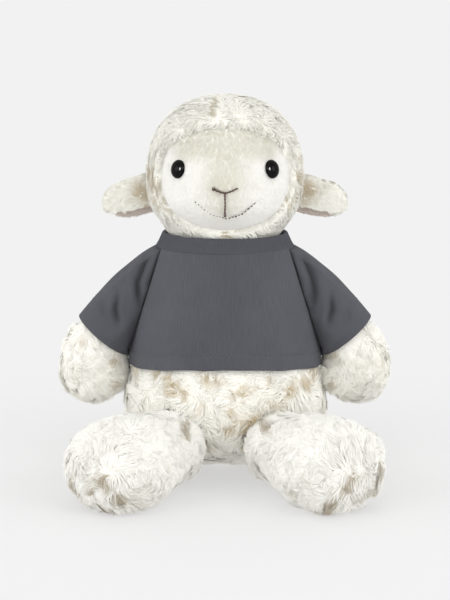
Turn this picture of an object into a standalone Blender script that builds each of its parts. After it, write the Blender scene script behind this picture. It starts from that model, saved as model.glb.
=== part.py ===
"""A seated plush sheep in a raglan T-shirt, modelled as the pieces it is sewn from.

Metres, +Z up. The sheep faces -Y, its own left side is +X, and it sits on z = 0.
"""
import math

import bpy
import bmesh
from mathutils import Matrix, Vector
from mathutils.geometry import intersect_point_line

MM = 0.001

# Fabric and fit
WOOL_THICKNESS = 3.0 * MM
LIMB_WOOL_THICKNESS = 2.1 * MM
FACE_PLUSH_THICKNESS = 1.5 * MM
LINING_THICKNESS = 0.8 * MM
JERSEY_THICKNESS = 1.2 * MM
SEAM_GAP = 0.3 * MM
STUFFING_GAP = 1.4 * MM
FILLING_SHARE = 0.965
FLOOR_FLAT = 0.5 * MM
CUT_OVERRUN = 20.0 * MM
EMPTY_SIZE = 10.0 * MM
MERGE_DISTANCE = 0.01 * MM

# Body, from the seat up to the neck seam
BODY_HEIGHT = 130.0 * MM
BODY_WIDTH = 117.0 * MM
BODY_DEPTH = 96.0 * MM
NECK_RADIUS = 24.0 * MM
NECK_SEAM = 0.6 * MM
BODY_SECTION_SHARES = (
    # height, width, depth, set back
    (0.000, 0.36, 0.34, 0.230),
    (0.040, 0.64, 0.56, 0.180),
    (0.140, 0.90, 0.84, 0.070),
    (0.280, 1.00, 1.00, 0.010),
    (0.430, 0.94, 1.00, 0.000),
    (0.600, 0.80, 0.92, 0.000),
    (0.780, 0.56, 0.78, 0.000),
    (0.920, 0.50, 0.62, 0.000),
)

# Head, from the neck seam up to the crown
HEAD_HEIGHT = 88.0 * MM
HEAD_WIDTH = 85.0 * MM
HEAD_DEPTH = 86.0 * MM
MUZZLE_PUSH = 7.0 * MM
MUZZLE_HEIGHT_SHARE = 0.36
MUZZLE_SPREAD_SHARE = 0.18
HEAD_SECTION_SHARES = (
    # height, width, depth, set forward
    (0.040, 0.58, 0.55, 0.000),
    (0.120, 0.68, 0.66, -0.030),
    (0.210, 0.82, 0.80, -0.010),
    (0.310, 0.95, 0.95, 0.035),
    (0.440, 1.00, 1.00, 0.030),
    (0.580, 1.00, 1.00, 0.010),
    (0.740, 0.92, 0.93, 0.000),
    (0.880, 0.72, 0.74, -0.010),
    (0.970, 0.40, 0.42, -0.015),
)
WOOL_LOFT = 2.5 * MM

# Face panel, an oval seen from the front
FACE_WIDTH = 73.0 * MM
FACE_HEIGHT = 58.0 * MM
FACE_CENTRE_SHARE = 0.505
FACE_SQUARENESS = 2.3
FACE_POINTS = 24

# Safety eyes with their washers
EYE_WIDTH = 9.2 * MM
EYE_HEIGHT = 10.6 * MM
EYE_RISE = 3.4 * MM
EYE_FLANGE = 0.6 * MM
EYE_SPACING = 51.0 * MM
EYE_LEVEL_SHARE = 0.568
EYE_POST_DIAMETER = 3.2 * MM
EYE_POST_LENGTH = 8.0 * MM
WASHER_DIAMETER = 12.0 * MM
WASHER_THICKNESS = 1.2 * MM
FACE_CURVE_SHARE = 0.6
EYE_SIDES = 20
EYE_RINGS = 5
EYE_CROWN_SHARE = 0.3

# Face embroidery
THREAD_DIAMETER = 1.0 * MM
MOUTH_THREAD_DIAMETER = 0.6 * MM
NOSE_WIDTH = 13.2 * MM
NOSE_DROP = 2.4 * MM
NOSE_CURVE_POWER = 1.4
NOSE_HEIGHT_SHARE = 0.462
LIP_HEIGHT_SHARE = 0.282
MOUTH_WIDTH = 33.0 * MM
MOUTH_SAG = 8.6 * MM
THREAD_LIFT = 0.5 * MM
THREAD_POINTS = 13

# Ears, folded over along their top
EAR_LENGTH = 27.0 * MM
EAR_HEIGHT = 22.0 * MM
EAR_FOLD_WIDTH = 10.0 * MM
EAR_ROOT_INSET = 5.0 * MM
EAR_HEIGHT_SHARE = 0.385
EAR_DROOP = math.radians(15)
EAR_SET_BACK = 2.0 * MM
EAR_FOLD_POINTS = 9
EAR_ARCH_POWER = 0.5
EAR_FRONT_LIFT = 2.0 * MM
EAR_SECTION_SHARES = (
    # length, height, fold width
    (0.00, 0.98, 0.88),
    (0.28, 1.00, 1.00),
    (0.55, 0.90, 1.00),
    (0.76, 0.74, 0.95),
    (0.91, 0.54, 0.86),
    (0.99, 0.32, 0.74),
)

# Arms: a round root in the body's socket, then a bent centreline down to the hand
ARM_ROOT_RADIUS = 13.0 * MM
ARM_ROOT_STANDOFF = 6.7 * MM
ARM_ROOT_BELOW_NECK = 14.0 * MM
ARM_CLEAR_OF_HEM = 5.7 * MM
ARM_DROP = 75.0 * MM
HAND_WIDTH = 34.0 * MM
ARM_SECTION_SHARES = (
    # out, down, width
    (0.42, 0.145, 0.74),
    (0.78, 0.41, 0.83),
    (0.95, 0.64, 0.97),
    (0.99, 0.81, 0.98),
    (1.00, 0.93, 0.66),
)

# Legs: a round root in the body's socket, then straight out, splayed
LEG_ROOT_RADIUS = 21.0 * MM
LEG_ROOT_OUT_SHARE = 0.53
LEG_ROOT_FORWARD_SHARE = 0.885
LEG_LENGTH = 71.0 * MM
LEG_SPLAY = math.radians(33)
FOOT_WIDTH = 60.0 * MM
FOOT_HEIGHT = 48.0 * MM
FOOT_SETTLE = 1.2 * MM
LEG_SECTION_SHARES = (
    # along, width, height
    (0.20, 0.74, 0.82),
    (0.48, 0.95, 0.96),
    (0.76, 1.00, 1.00),
    (0.94, 0.64, 0.64),
)
ROOT_TURNS = (math.radians(-62), math.radians(-32), 0.0)
SOCKET_GAP = 0.4 * MM
SOCKET_FACETS = 20

# Tail, hanging from the back
TAIL_LENGTH = 30.0 * MM
TAIL_WIDTH = 18.0 * MM
TAIL_ROOT_HEIGHT = 46.0 * MM
TAIL_ROOT_SHARE = 0.44
TAIL_SLOPE = math.radians(38)
TAIL_HINGE_RISE = 7.0 * MM
TAIL_SECTION_SHARES = (
    # along, width
    (0.06, 0.60),
    (0.35, 0.86),
    (0.62, 1.00),
    (0.86, 0.74),
)

# Pellet bag in the seat
PELLET_BAG_WIDTH_SHARE = 0.53
PELLET_BAG_DEPTH_SHARE = 0.52
PELLET_BAG_HEIGHT = 18.0 * MM
PELLET_BAG_SET_BACK_SHARE = 0.156
PELLET_BAG_SHARES = ((0.12, 0.62), (0.42, 1.00), (0.74, 0.86), (0.94, 0.45))

# T-shirt
COLLAR_EASE = 0.9 * MM
COLLAR_FLARE = 3.9 * MM
COLLAR_TOP_ABOVE_NECK = 10.3 * MM
COLLAR_HEIGHT = 7.6 * MM
COLLAR_CREST = 0.6 * MM
COLLAR_PROFILE_SHARES = (
    # height, drawn in
    (0.00, 0.00),
    (0.45, 0.53),
    (0.80, 0.84),
    (1.00, 1.00),
)
HEM_HEIGHT = 63.0 * MM
HEM_RISE = 6.0 * MM
HEM_EASE = 3.7 * MM
SHIRT_FULLNESS = 3.0 * MM
SHIRT_SECTIONS = 7
SHIRT_FOLD_DEPTH = 1.6 * MM
SHIRT_FOLD_FADE_SHARE = 0.25
SHIRT_FOLD_SHARES = (
    # across, spread, depth
    (-0.58, 0.13, 1.00),
    (-0.20, 0.14, 0.55),
    (0.18, 0.13, 0.45),
    (0.56, 0.14, 0.90),
)
RAGLAN_TOP_SHARE = 0.915
ARMPIT_BELOW_ARM_ROOT = 42.0 * MM
CUFF_OUT_SHARE = 0.850
CUFF_DOWN_SHARE = 0.482
CUFF_EASE = 2.4 * MM
CUFF_DEPTH_EASE = 3.9 * MM
CUFF_TILT = math.radians(40.5)
SLEEVE_LOOPS = 7
SLEEVE_PUFF = 3.2 * MM
SLEEVE_EASE = 1.0 * MM
SLEEVE_FOLD_DEPTH = 2.0 * MM
SLEEVE_FOLD_SHARES = (
    # around, spread, depth
    (0.27, 0.035, 0.80),
    (0.40, 0.035, 1.00),
    (0.62, 0.035, 0.90),
    (0.76, 0.035, 0.70),
)
SEAM_POINTS = 13
COLLAR_ARC_POINTS = 7

# Facets
BODY_SIDES = 12
LIMB_SIDES = 8
SHIRT_SIDES = 48

NECK_HEIGHT = BODY_HEIGHT
CREAM_WOOL = (0.86, 0.83, 0.74, 1.0)
CREAM_PLUSH = (0.87, 0.85, 0.78, 1.0)
CHARCOAL_JERSEY = (0.105, 0.108, 0.125, 1.0)
BROWN_THREAD = (0.10, 0.045, 0.03, 1.0)
EYE_BLACK = (0.01, 0.01, 0.01, 1.0)
WHITE_FIBRE = (0.9, 0.9, 0.88, 1.0)
CLEAR_WHITE = (0.8, 0.82, 0.84, 1.0)


def clear_scene():
    for old in list(bpy.data.objects):
        bpy.data.objects.remove(old)


def new_collection(name):
    collection = bpy.data.collections.new(name)
    bpy.context.scene.collection.children.link(collection)
    return collection


def make_material(name, colour, roughness):
    material = bpy.data.materials.new(name)
    material.use_nodes = True
    shader = material.node_tree.nodes["Principled BSDF"]
    shader.inputs["Base Color"].default_value = colour
    shader.inputs["Roughness"].default_value = roughness
    shader.inputs["Metallic"].default_value = 0.0
    return material


clear_scene()
sheep = new_collection("plush_sheep")
cutters = new_collection("cutters")
wool = make_material("curly_wool_plush", CREAM_WOOL, 0.95)
short_plush = make_material("short_plush", CREAM_PLUSH, 0.9)
jersey = make_material("charcoal_jersey", CHARCOAL_JERSEY, 0.85)
thread = make_material("embroidery_thread", BROWN_THREAD, 0.6)
eye_plastic = make_material("eye_plastic", EYE_BLACK, 0.12)
fibre = make_material("polyester_fibre", WHITE_FIBRE, 0.95)
clear_plastic = make_material("clear_plastic", CLEAR_WHITE, 0.4)


# Building blocks

def link(mesh, name, material=None):
    """A new object: a sub-part if it has a material, and otherwise a hidden cutter."""
    obj = bpy.data.objects.new(name, mesh)
    if material is None:
        cutters.objects.link(obj)
        obj.hide_render = True
        obj.display_type = "WIRE"
    else:
        sheep.objects.link(obj)
        mesh.materials.append(material)
    return obj


def ring(centre, across, upward, half_across, half_up, count, squareness=2.0):
    """Points of an oval about centre, from the across direction round to upward."""
    points = []
    for step in range(count):
        angle = 2 * math.pi * step / count
        c, s = math.cos(angle), math.sin(angle)
        a = math.copysign(abs(c) ** (2 / squareness), c)
        u = math.copysign(abs(s) ** (2 / squareness), s)
        points.append(centre + across * (half_across * a) + upward * (half_up * u))
    return points


def loft_mesh(name, loops, start=None, end=None):
    """Quads between loops of equal length. start and end are poles that close the ends."""
    bm = bmesh.new()
    rows = [[bm.verts.new(p) for p in loop] for loop in loops]
    count = len(loops[0])
    for near, far in zip(rows, rows[1:]):
        for i in range(count):
            j = (i + 1) % count
            bm.faces.new((near[i], near[j], far[j], far[i]))
    for pole, row, outward in ((start, rows[0], -1), (end, rows[-1], 1)):
        if pole is None:
            continue
        tip = bm.verts.new(pole)
        for i in range(count):
            pair = (row[i], row[(i + 1) % count])[::outward]
            bm.faces.new((*pair, tip))
    return finished_mesh(bm, name)


def finished_mesh(bm, name):
    """A smooth-shaded mesh with its faces turned out."""
    bmesh.ops.recalc_face_normals(bm, faces=bm.faces)
    for face in bm.faces:
        face.smooth = True
    mesh = bpy.data.meshes.new(name)
    bm.to_mesh(mesh)
    bm.free()
    return mesh


def capped_band_mesh(name, loops):
    """A folded strip: each loop runs along its outside and back along its inside."""
    bm = bmesh.new()
    rows = [[bm.verts.new(p) for p in loop] for loop in loops]
    count = len(loops[0])
    for near, far in zip(rows, rows[1:]):
        for i in range(count):
            j = (i + 1) % count
            bm.faces.new((near[i], near[j], far[j], far[i]))
    for row in (rows[0], rows[-1]):
        for i in range(count // 2 - 1):
            bm.faces.new((row[i], row[i + 1], row[count - 2 - i], row[count - 1 - i]))
    return finished_mesh(bm, name)


def swell(count):
    """How much wider a cage of count sides has to be than the smooth ring inside it."""
    return 3 / (2 + math.cos(2 * math.pi / count))


def smooth(obj, levels=1):
    modifier = obj.modifiers.new("smooth", "SUBSURF")
    modifier.levels = levels
    modifier.render_levels = levels


def offset(obj, distance):
    """Moves the whole surface out along its normals, or in if distance is negative."""
    modifier = obj.modifiers.new("offset", "DISPLACE")
    modifier.strength = distance
    modifier.mid_level = 0.0


def thicken(obj, inward, outward):
    modifier = obj.modifiers.new("thickness", "SOLIDIFY")
    modifier.thickness = inward + outward
    modifier.offset = (outward - inward) / (inward + outward)
    modifier.use_even_offset = True


def boolean(obj, cutter, operation="DIFFERENCE"):
    modifier = obj.modifiers.new(cutter.name, "BOOLEAN")
    modifier.operation = operation
    modifier.solver = "EXACT"
    modifier.object = cutter


def box_between(name, low, high):
    bm = bmesh.new()
    bmesh.ops.create_cube(bm, size=1.0)
    size = high - low
    move = Matrix.Translation((low + high) / 2) @ Matrix.Diagonal((*size, 1.0))
    bmesh.ops.transform(bm, matrix=move, verts=bm.verts)
    mesh = bpy.data.meshes.new(name)
    bm.to_mesh(mesh)
    bm.free()
    return link(mesh, name)


def empty_at(name, position):
    """An empty on a joint's axis. What it carries keeps its place."""
    empty = bpy.data.objects.new(name, None)
    empty.location = position
    empty.empty_display_size = EMPTY_SIZE
    sheep.objects.link(empty)
    return empty


def carry(empty, pieces):
    for piece in pieces:
        piece.parent = empty
        piece.matrix_parent_inverse = Matrix.Translation(-empty.location)


def named(*names):
    return [bpy.data.objects[name] for name in names]


class SoftForm:
    """A stuffed shape through oval sections, open or closed at its start, closed at its end.

    A section is (centre, across, upward, half_across, half_up).
    """

    def __init__(self, name, sections, sides, start_pole, end_pole, shape=None):
        self.name = name
        self.sections = sections
        self.sides = sides
        self.start_pole = start_pole
        self.end_pole = end_pole
        self.shape = shape

    def loops(self, swelling):
        rows = []
        for centre, across, upward, half_across, half_up in self.sections:
            row = ring(
                centre, across, upward, half_across * swelling, half_up * swelling, self.sides
            )
            rows.append([self.shape(point) for point in row] if self.shape else row)
        return rows

    def skin(self, name, material, inward, outward=0.0):
        """The fabric shell, open at the start of the form."""
        mesh = loft_mesh(name, self.loops(swell(self.sides)), end=self.end_pole)
        obj = link(mesh, name, material)
        smooth(obj)
        thicken(obj, inward, outward)
        return obj

    def filling(self, name, material, inset, skipped=0):
        """What the shell holds, as one closed lump of plain facets.

        It leaves out as many of the first sections as skipped.
        """
        start = self.sections[skipped - 1][0] if skipped else self.start_pole
        middle = start.lerp(self.end_pole, 0.5)
        loops = [
            [middle.lerp(point, FILLING_SHARE) for point in row]
            for row in self.loops(1.0)[skipped:]
        ]
        ends = [middle.lerp(pole, FILLING_SHARE) for pole in (start, self.end_pole)]
        mesh = loft_mesh(name, loops, *ends)
        obj = link(mesh, name, material)
        offset(obj, -inset)
        return obj

    def cutter(self, grown):
        """The closed form, larger by grown, for seating a neighbour on it."""
        name = f"{self.name}_seat"
        mesh = loft_mesh(name, self.loops(swell(self.sides)), self.start_pole, self.end_pole)
        obj = link(mesh, name)
        smooth(obj)
        offset(obj, grown)
        return obj


def ball_cutter(name, centre, radius):
    """A hidden ball whose facets all lie outside radius."""
    bm = bmesh.new()
    outer = radius / math.cos(math.pi / SOCKET_FACETS)
    bmesh.ops.create_uvsphere(
        bm, u_segments=SOCKET_FACETS, v_segments=SOCKET_FACETS // 2, radius=outer
    )
    mesh = bpy.data.meshes.new(name)
    bm.to_mesh(mesh)
    bm.free()
    obj = link(mesh, name)
    obj.location = centre
    return obj


X_AXIS, Y_AXIS, Z_AXIS = Vector((1, 0, 0)), Vector((0, 1, 0)), Vector((0, 0, 1))
SIDES = (("left", 1), ("right", -1))


def section_at(sections, share, column):
    """The value in a column of a table of sections, at share of the height."""
    for low, high in zip(sections, sections[1:]):
        if share <= high[0]:
            part = max((share - low[0]) / (high[0] - low[0]), 0.0)
            return low[column] + (high[column] - low[column]) * part
    return sections[-1][column]


# Body

def body_halves(z):
    """Half width and half depth of the body at height z."""
    width, depth = (section_at(BODY_SECTION_SHARES, z / BODY_HEIGHT, i) for i in (1, 2))
    return width * BODY_WIDTH / 2, depth * BODY_DEPTH / 2


def body_form():
    sections = []
    for height, width, depth, back in BODY_SECTION_SHARES:
        centre = Vector((0, back * BODY_DEPTH, height * BODY_HEIGHT))
        sections.append((centre, X_AXIS, Y_AXIS, width * BODY_WIDTH / 2, depth * BODY_DEPTH / 2))
    neck = Vector((0, 0, NECK_HEIGHT - NECK_SEAM / 2))
    sections.append((neck, X_AXIS, Y_AXIS, NECK_RADIUS, NECK_RADIUS))
    sections.reverse()
    seat_back = BODY_SECTION_SHARES[0][3] * BODY_DEPTH
    seat = Vector((0, seat_back, -FLOOR_FLAT))
    return SoftForm("body", sections, BODY_SIDES, neck, seat)


body = body_form()
body_seat = body.cutter(SEAM_GAP)
floor = box_between(
    "floor_cut",
    Vector((-BODY_WIDTH, -LEG_LENGTH - BODY_DEPTH, -CUT_OVERRUN)),
    Vector((BODY_WIDTH, BODY_DEPTH, 0)),
)

body_skin = body.skin("body_skin", wool, WOOL_THICKNESS)
boolean(body_skin, floor)
body_stuffing = body.filling("body_stuffing", fibre, WOOL_THICKNESS + STUFFING_GAP)


def pellet_bag_form(grown):
    """A squashed cushion just above the inside of the seat."""
    back = PELLET_BAG_SET_BACK_SHARE * BODY_DEPTH
    base = WOOL_THICKNESS + STUFFING_GAP
    loops = []
    for height, width in PELLET_BAG_SHARES:
        centre = Vector((0, back, base + height * PELLET_BAG_HEIGHT))
        half_width = width * PELLET_BAG_WIDTH_SHARE * BODY_WIDTH / 2 + grown
        half_depth = width * PELLET_BAG_DEPTH_SHARE * BODY_DEPTH / 2 + grown
        loops.append(ring(centre, X_AXIS, Y_AXIS, half_width, half_depth, BODY_SIDES))
    loops.reverse()
    top = Vector((0, back, base + PELLET_BAG_HEIGHT + grown))
    bottom = Vector((0, back, base))
    return loops, top, bottom


def make_pellet_bag():
    loops, top, bottom = pellet_bag_form(0.0)
    bag = link(loft_mesh("pellet_bag", loops, top, bottom), "pellet_bag", fibre)
    smooth(bag)
    loops, top, bottom = pellet_bag_form(STUFFING_GAP)
    bottom.z = -CUT_OVERRUN
    pocket = link(loft_mesh("pellet_pocket", loops, top, bottom), "pellet_pocket")
    smooth(pocket)
    boolean(body_stuffing, pocket)


make_pellet_bag()


# Head

def head_form():
    neck = Vector((0, 0, NECK_HEIGHT + NECK_SEAM / 2))
    sections = [(neck, X_AXIS, Y_AXIS, NECK_RADIUS, NECK_RADIUS)]
    for height, width, depth, forward in HEAD_SECTION_SHARES:
        centre = Vector((0, -forward * HEAD_DEPTH, NECK_HEIGHT + height * HEAD_HEIGHT))
        sections.append((centre, X_AXIS, Y_AXIS, width * HEAD_WIDTH / 2, depth * HEAD_DEPTH / 2))
    crown_set = -HEAD_SECTION_SHARES[-1][3] * HEAD_DEPTH
    crown = Vector((0, crown_set, NECK_HEIGHT + HEAD_HEIGHT))
    return SoftForm("head", sections, BODY_SIDES, neck, crown, push_muzzle)


def push_muzzle(point):
    """Moves the front of the face forward about the muzzle's centre, fading all round."""
    if point.y >= 0:
        return point
    rise = point.z - NECK_HEIGHT - MUZZLE_HEIGHT_SHARE * HEAD_HEIGHT
    reach = MUZZLE_SPREAD_SHARE * HEAD_HEIGHT
    fade = math.exp(-((point.x / reach) ** 2 + (rise / reach) ** 2) / 2)
    return point + Vector((0, -MUZZLE_PUSH * fade, 0))


def face_prism(name, grown):
    """An oval bar along Y that covers the face panel's outline."""
    z = NECK_HEIGHT + FACE_CENTRE_SHARE * HEAD_HEIGHT
    half_width, half_height = FACE_WIDTH / 2 + grown, FACE_HEIGHT / 2 + grown
    loops = []
    for y in (-HEAD_DEPTH, 0):
        centre = Vector((0, y, z))
        loops.append(
            ring(centre, X_AXIS, Z_AXIS, half_width, half_height, FACE_POINTS, FACE_SQUARENESS)
        )
    ends = [Vector((0, y, z)) for y in (-HEAD_DEPTH, 0)]
    return link(loft_mesh(name, loops, *ends), name)


head = head_form()
head_wool = head.skin("head_wool", wool, FACE_PLUSH_THICKNESS, WOOL_LOFT)
boolean(head_wool, face_prism("face_opening", SEAM_GAP))
face_panel = head.skin("face_panel", short_plush, FACE_PLUSH_THICKNESS)
boolean(face_panel, face_prism("face_outline", 0.0), "INTERSECT")
head_stuffing = head.filling("head_stuffing", fibre, FACE_PLUSH_THICKNESS + STUFFING_GAP)


def on_face(x, z):
    """The point of the face panel straight behind (x, z), and its outward normal."""
    graph = bpy.context.evaluated_depsgraph_get()
    start = Vector((x, -2 * HEAD_DEPTH, z))
    hit, point, normal, _ = face_panel.evaluated_get(graph).ray_cast(start, Y_AXIS)
    if not hit:
        raise ValueError(f"nothing of the face lies behind x = {x:.4f}, z = {z:.4f}")
    return point, normal


bpy.context.view_layer.update()


# Eyes

def oval_mesh(name, profile, sides):
    """A closed solid about Z from (half width, half depth, height) ovals, bottom to top."""
    loops = [
        ring(Vector((0, 0, height)), X_AXIS, Y_AXIS, half_width, half_depth, sides)
        for half_width, half_depth, height in profile
    ]
    ends = [Vector((0, 0, profile[0][2])), Vector((0, 0, profile[-1][2]))]
    return loft_mesh(name, loops, *ends)


def cylinder(name, radius, bottom, top, material=None):
    profile = [(radius, radius, bottom), (radius, radius, top)]
    return link(oval_mesh(name, profile, EYE_SIDES), name, material)


def seated(obj, point, normal):
    """Stands obj on point with its Z along normal."""
    turn = normal.to_track_quat("Z", "Y").to_matrix().to_4x4()
    obj.matrix_world = Matrix.Translation(point) @ turn
    return obj


def eye_profile():
    half_width, half_height = EYE_WIDTH / 2, EYE_HEIGHT / 2
    post = EYE_POST_DIAMETER / 2
    rim = SEAM_GAP + EYE_FLANGE
    dome = [(post, post, -EYE_POST_LENGTH), (post, post, SEAM_GAP)]
    dome += [(half_width, half_height, SEAM_GAP), (half_width, half_height, rim)]
    for step in range(1, EYE_RINGS + 1):
        angle = math.pi / 2 * step / (EYE_RINGS + EYE_CROWN_SHARE)
        shrink = math.cos(angle)
        dome.append((half_width * shrink, half_height * shrink, rim + EYE_RISE * math.sin(angle)))
    return dome


def make_eye(side, sign):
    x = sign * EYE_SPACING / 2
    z = NECK_HEIGHT + EYE_LEVEL_SHARE * HEAD_HEIGHT
    point, normal = on_face(x, z)
    eye = link(oval_mesh("eye", eye_profile(), EYE_SIDES), f"eye_{side}", eye_plastic)
    seated(eye, point, normal)
    post_hole = EYE_POST_DIAMETER / 2 + SEAM_GAP
    hole = cylinder(f"post_hole_{side}", post_hole, -EYE_POST_LENGTH, CUT_OVERRUN)
    seated(hole, point, normal)
    boolean(face_panel, hole)
    face_radius = FACE_CURVE_SHARE * HEAD_WIDTH / 2
    sag = WASHER_DIAMETER ** 2 / (8 * face_radius)
    under = FACE_PLUSH_THICKNESS + SEAM_GAP + sag
    washer = cylinder(
        f"eye_washer_{side}",
        WASHER_DIAMETER / 2,
        -under - WASHER_THICKNESS,
        -under,
        clear_plastic,
    )
    seated(washer, point, normal)
    boolean(washer, hole)
    room = WASHER_DIAMETER / 2 + STUFFING_GAP
    pocket = cylinder(
        f"eye_pocket_{side}", room, -EYE_POST_LENGTH - STUFFING_GAP, CUT_OVERRUN
    )
    seated(pocket, point, normal)
    boolean(head_stuffing, pocket)


def make_thread(name, route, diameter):
    """A row of stitches as one thread lying on the face along (x, z) points."""
    curve = bpy.data.curves.new(name, "CURVE")
    curve.dimensions = "3D"
    curve.bevel_depth = diameter / 2
    curve.bevel_resolution = 1
    curve.use_fill_caps = True
    spline = curve.splines.new("POLY")
    spline.points.add(len(route) - 1)
    for knot, (x, z) in zip(spline.points, route):
        point, normal = on_face(x, z)
        knot.co = (*(point + normal * (diameter / 2 + THREAD_LIFT)), 1)
    return link(curve, name, thread)


def sagging_route(width, end_height, sag, middle_power=2.0):
    """(x, z) points from side to side that hang lowest in the middle."""
    route = []
    for step in range(THREAD_POINTS):
        t = 2 * step / (THREAD_POINTS - 1) - 1
        route.append((t * width / 2, end_height - sag * (1 - abs(t) ** middle_power)))
    return route


def make_embroidery():
    nose = NECK_HEIGHT + NOSE_HEIGHT_SHARE * HEAD_HEIGHT
    lip = NECK_HEIGHT + LIP_HEIGHT_SHARE * HEAD_HEIGHT
    nose_route = sagging_route(NOSE_WIDTH, nose, NOSE_DROP, NOSE_CURVE_POWER)
    make_thread("nose_stitching", nose_route, THREAD_DIAMETER)
    mouth_ends = lip + MOUTH_SAG
    mouth = sagging_route(MOUTH_WIDTH, mouth_ends, MOUTH_SAG)
    make_thread("mouth_stitching", mouth, MOUTH_THREAD_DIAMETER)
    top = nose - NOSE_DROP - THREAD_DIAMETER - SEAM_GAP
    bottom = lip + THREAD_DIAMETER + SEAM_GAP
    steps = [step / (THREAD_POINTS - 1) for step in range(THREAD_POINTS)]
    lip_route = [(0, top + (bottom - top) * step) for step in steps]
    make_thread("lip_stitching", lip_route, THREAD_DIAMETER)


# The stitches are laid before the post holes are cut, while the face is whole.
make_embroidery()
for side, sign in SIDES:
    make_eye(side, sign)


# Ears

head_wool_seat = head.cutter(WOOL_LOFT + SEAM_GAP)


def arch(tall, half_width, drop_front):
    """(y, z) points over the fold, from the front leaf's edge to the back leaf's."""
    points = []
    for step in range(EAR_FOLD_POINTS):
        angle = math.pi * step / (EAR_FOLD_POINTS - 1)
        rise = math.sin(angle) ** EAR_ARCH_POWER if 0 < step < EAR_FOLD_POINTS - 1 else 0.0
        lift = drop_front * (1 - rise) if angle < math.pi / 2 else 0.0
        points.append((-half_width * math.cos(angle), tall * (rise - 0.5) + lift))
    return points


def ear_frame(sign):
    """The middle of the ear's root, the way the ear points, and its upward direction."""
    along = Vector((sign * math.cos(EAR_DROOP), 0, -math.sin(EAR_DROOP)))
    up = Vector((sign * math.sin(EAR_DROOP), 0, math.cos(EAR_DROOP)))
    root = Vector((
        sign * (HEAD_WIDTH / 2 + WOOL_LOFT - EAR_ROOT_INSET),
        EAR_SET_BACK,
        NECK_HEIGHT + EAR_HEIGHT_SHARE * HEAD_HEIGHT,
    ))
    return root, along, up


def ear_loops(sign, inset, thickness):
    """Closed bands round the folded cloth, from the ear's root to its tip."""
    root, along, up = ear_frame(sign)
    loops = []
    for length, height, width in EAR_SECTION_SHARES:
        centre = root + along * (length * (EAR_LENGTH + EAR_ROOT_INSET - inset))
        tall = height * EAR_HEIGHT
        half_width = width * EAR_FOLD_WIDTH / 2
        outer = arch(tall - inset, half_width - inset, EAR_FRONT_LIFT * height)
        inner = arch(
            tall - inset - thickness, half_width - inset - thickness, EAR_FRONT_LIFT * height
        )
        middle = -(inset + thickness) / 2
        band = [centre + Y_AXIS * y + up * (z - inset / 2) for y, z in outer]
        band += [centre + Y_AXIS * y + up * (z + middle) for y, z in reversed(inner)]
        loops.append(band)
    return loops


def make_ear(side, sign):
    layers = (
        ("outer", wool, 0.0, LIMB_WOOL_THICKNESS),
        ("lining", short_plush, LIMB_WOOL_THICKNESS + SEAM_GAP, LINING_THICKNESS),
    )
    for layer, material, inset, thickness in layers:
        name = f"ear_{side}_{layer}"
        loops = ear_loops(sign, inset, thickness)
        ear = link(capped_band_mesh(name, loops), name, material)
        boolean(ear, head_wool_seat)
    root, _, up = ear_frame(sign)
    flop = empty_at(f"ear_{side}_flop", root + up * (EAR_HEIGHT / 2))
    carry(flop, named(f"ear_{side}_outer", f"ear_{side}_lining"))


for side, sign in SIDES:
    make_ear(side, sign)


# Arms

def path_sections(start, points, halves_across, halves_up, level):
    """Sections square to the path from start through points. level is each ring's upward."""
    sections = []
    for i, point in enumerate(points):
        before = points[i - 1] if i else start
        after = points[min(i + 1, len(points) - 1)]
        across = (after - before).cross(level).normalized()
        sections.append((point, across, level, halves_across[i], halves_up[i]))
    return sections


def round_root(centre, toward, level, radius):
    """Sections of the ball's inner half, which turns in the body's socket, up to its middle."""
    along = (toward - centre).normalized()
    across = along.cross(level).normalized()
    return [
        (
            centre + along * (radius * math.sin(turn)),
            across,
            level,
            radius * math.cos(turn),
            radius * math.cos(turn),
        )
        for turn in ROOT_TURNS
    ]


def arm_root(sign):
    """The middle of the arm's round root, just outside the body's shoulder."""
    z = NECK_HEIGHT - ARM_ROOT_BELOW_NECK
    return Vector((sign * (body_halves(z)[0] + ARM_ROOT_STANDOFF), 0, z))


def arm_reach():
    """How far the hand's middle hangs out from the root, so that it clears the hem."""
    hand = body_halves(HEM_HEIGHT)[0] + HEM_EASE + ARM_CLEAR_OF_HEM + HAND_WIDTH / 2
    return hand - arm_root(1).x


def arm_form(side, sign):
    root, reach = arm_root(sign), arm_reach()
    points, halves = [], []
    for out, down, width in ARM_SECTION_SHARES:
        points.append(root + Vector((sign * out * reach, 0, -down * ARM_DROP)))
        halves.append(width * HAND_WIDTH / 2)
    tip = root + Vector((sign * reach, 0, -ARM_DROP))
    sections = round_root(root, points[0], Y_AXIS, ARM_ROOT_RADIUS)
    sections += path_sections(root, points, halves, halves, Y_AXIS)
    return SoftForm(f"arm_{side}", sections, LIMB_SIDES, sections[0][0], tip), root


def leg_form(side, sign):
    height = FOOT_HEIGHT / 2 - FOOT_SETTLE
    out = sign * LEG_ROOT_OUT_SHARE * BODY_WIDTH / 2
    root = Vector((out, -LEG_ROOT_FORWARD_SHARE * BODY_DEPTH / 2, height))
    along = Vector((sign * math.sin(LEG_SPLAY), -math.cos(LEG_SPLAY), 0))
    points = [root + along * (share * LEG_LENGTH) for share, _, _ in LEG_SECTION_SHARES]
    widths = [width * FOOT_WIDTH / 2 for _, width, _ in LEG_SECTION_SHARES]
    heights = [tall * FOOT_HEIGHT / 2 for _, _, tall in LEG_SECTION_SHARES]
    sections = round_root(root, points[0], Z_AXIS, LEG_ROOT_RADIUS)
    sections += path_sections(root, points, widths, heights, Z_AXIS)
    toe = root + along * LEG_LENGTH
    return SoftForm(f"leg_{side}", sections, LIMB_SIDES, sections[0][0], toe), root


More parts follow.
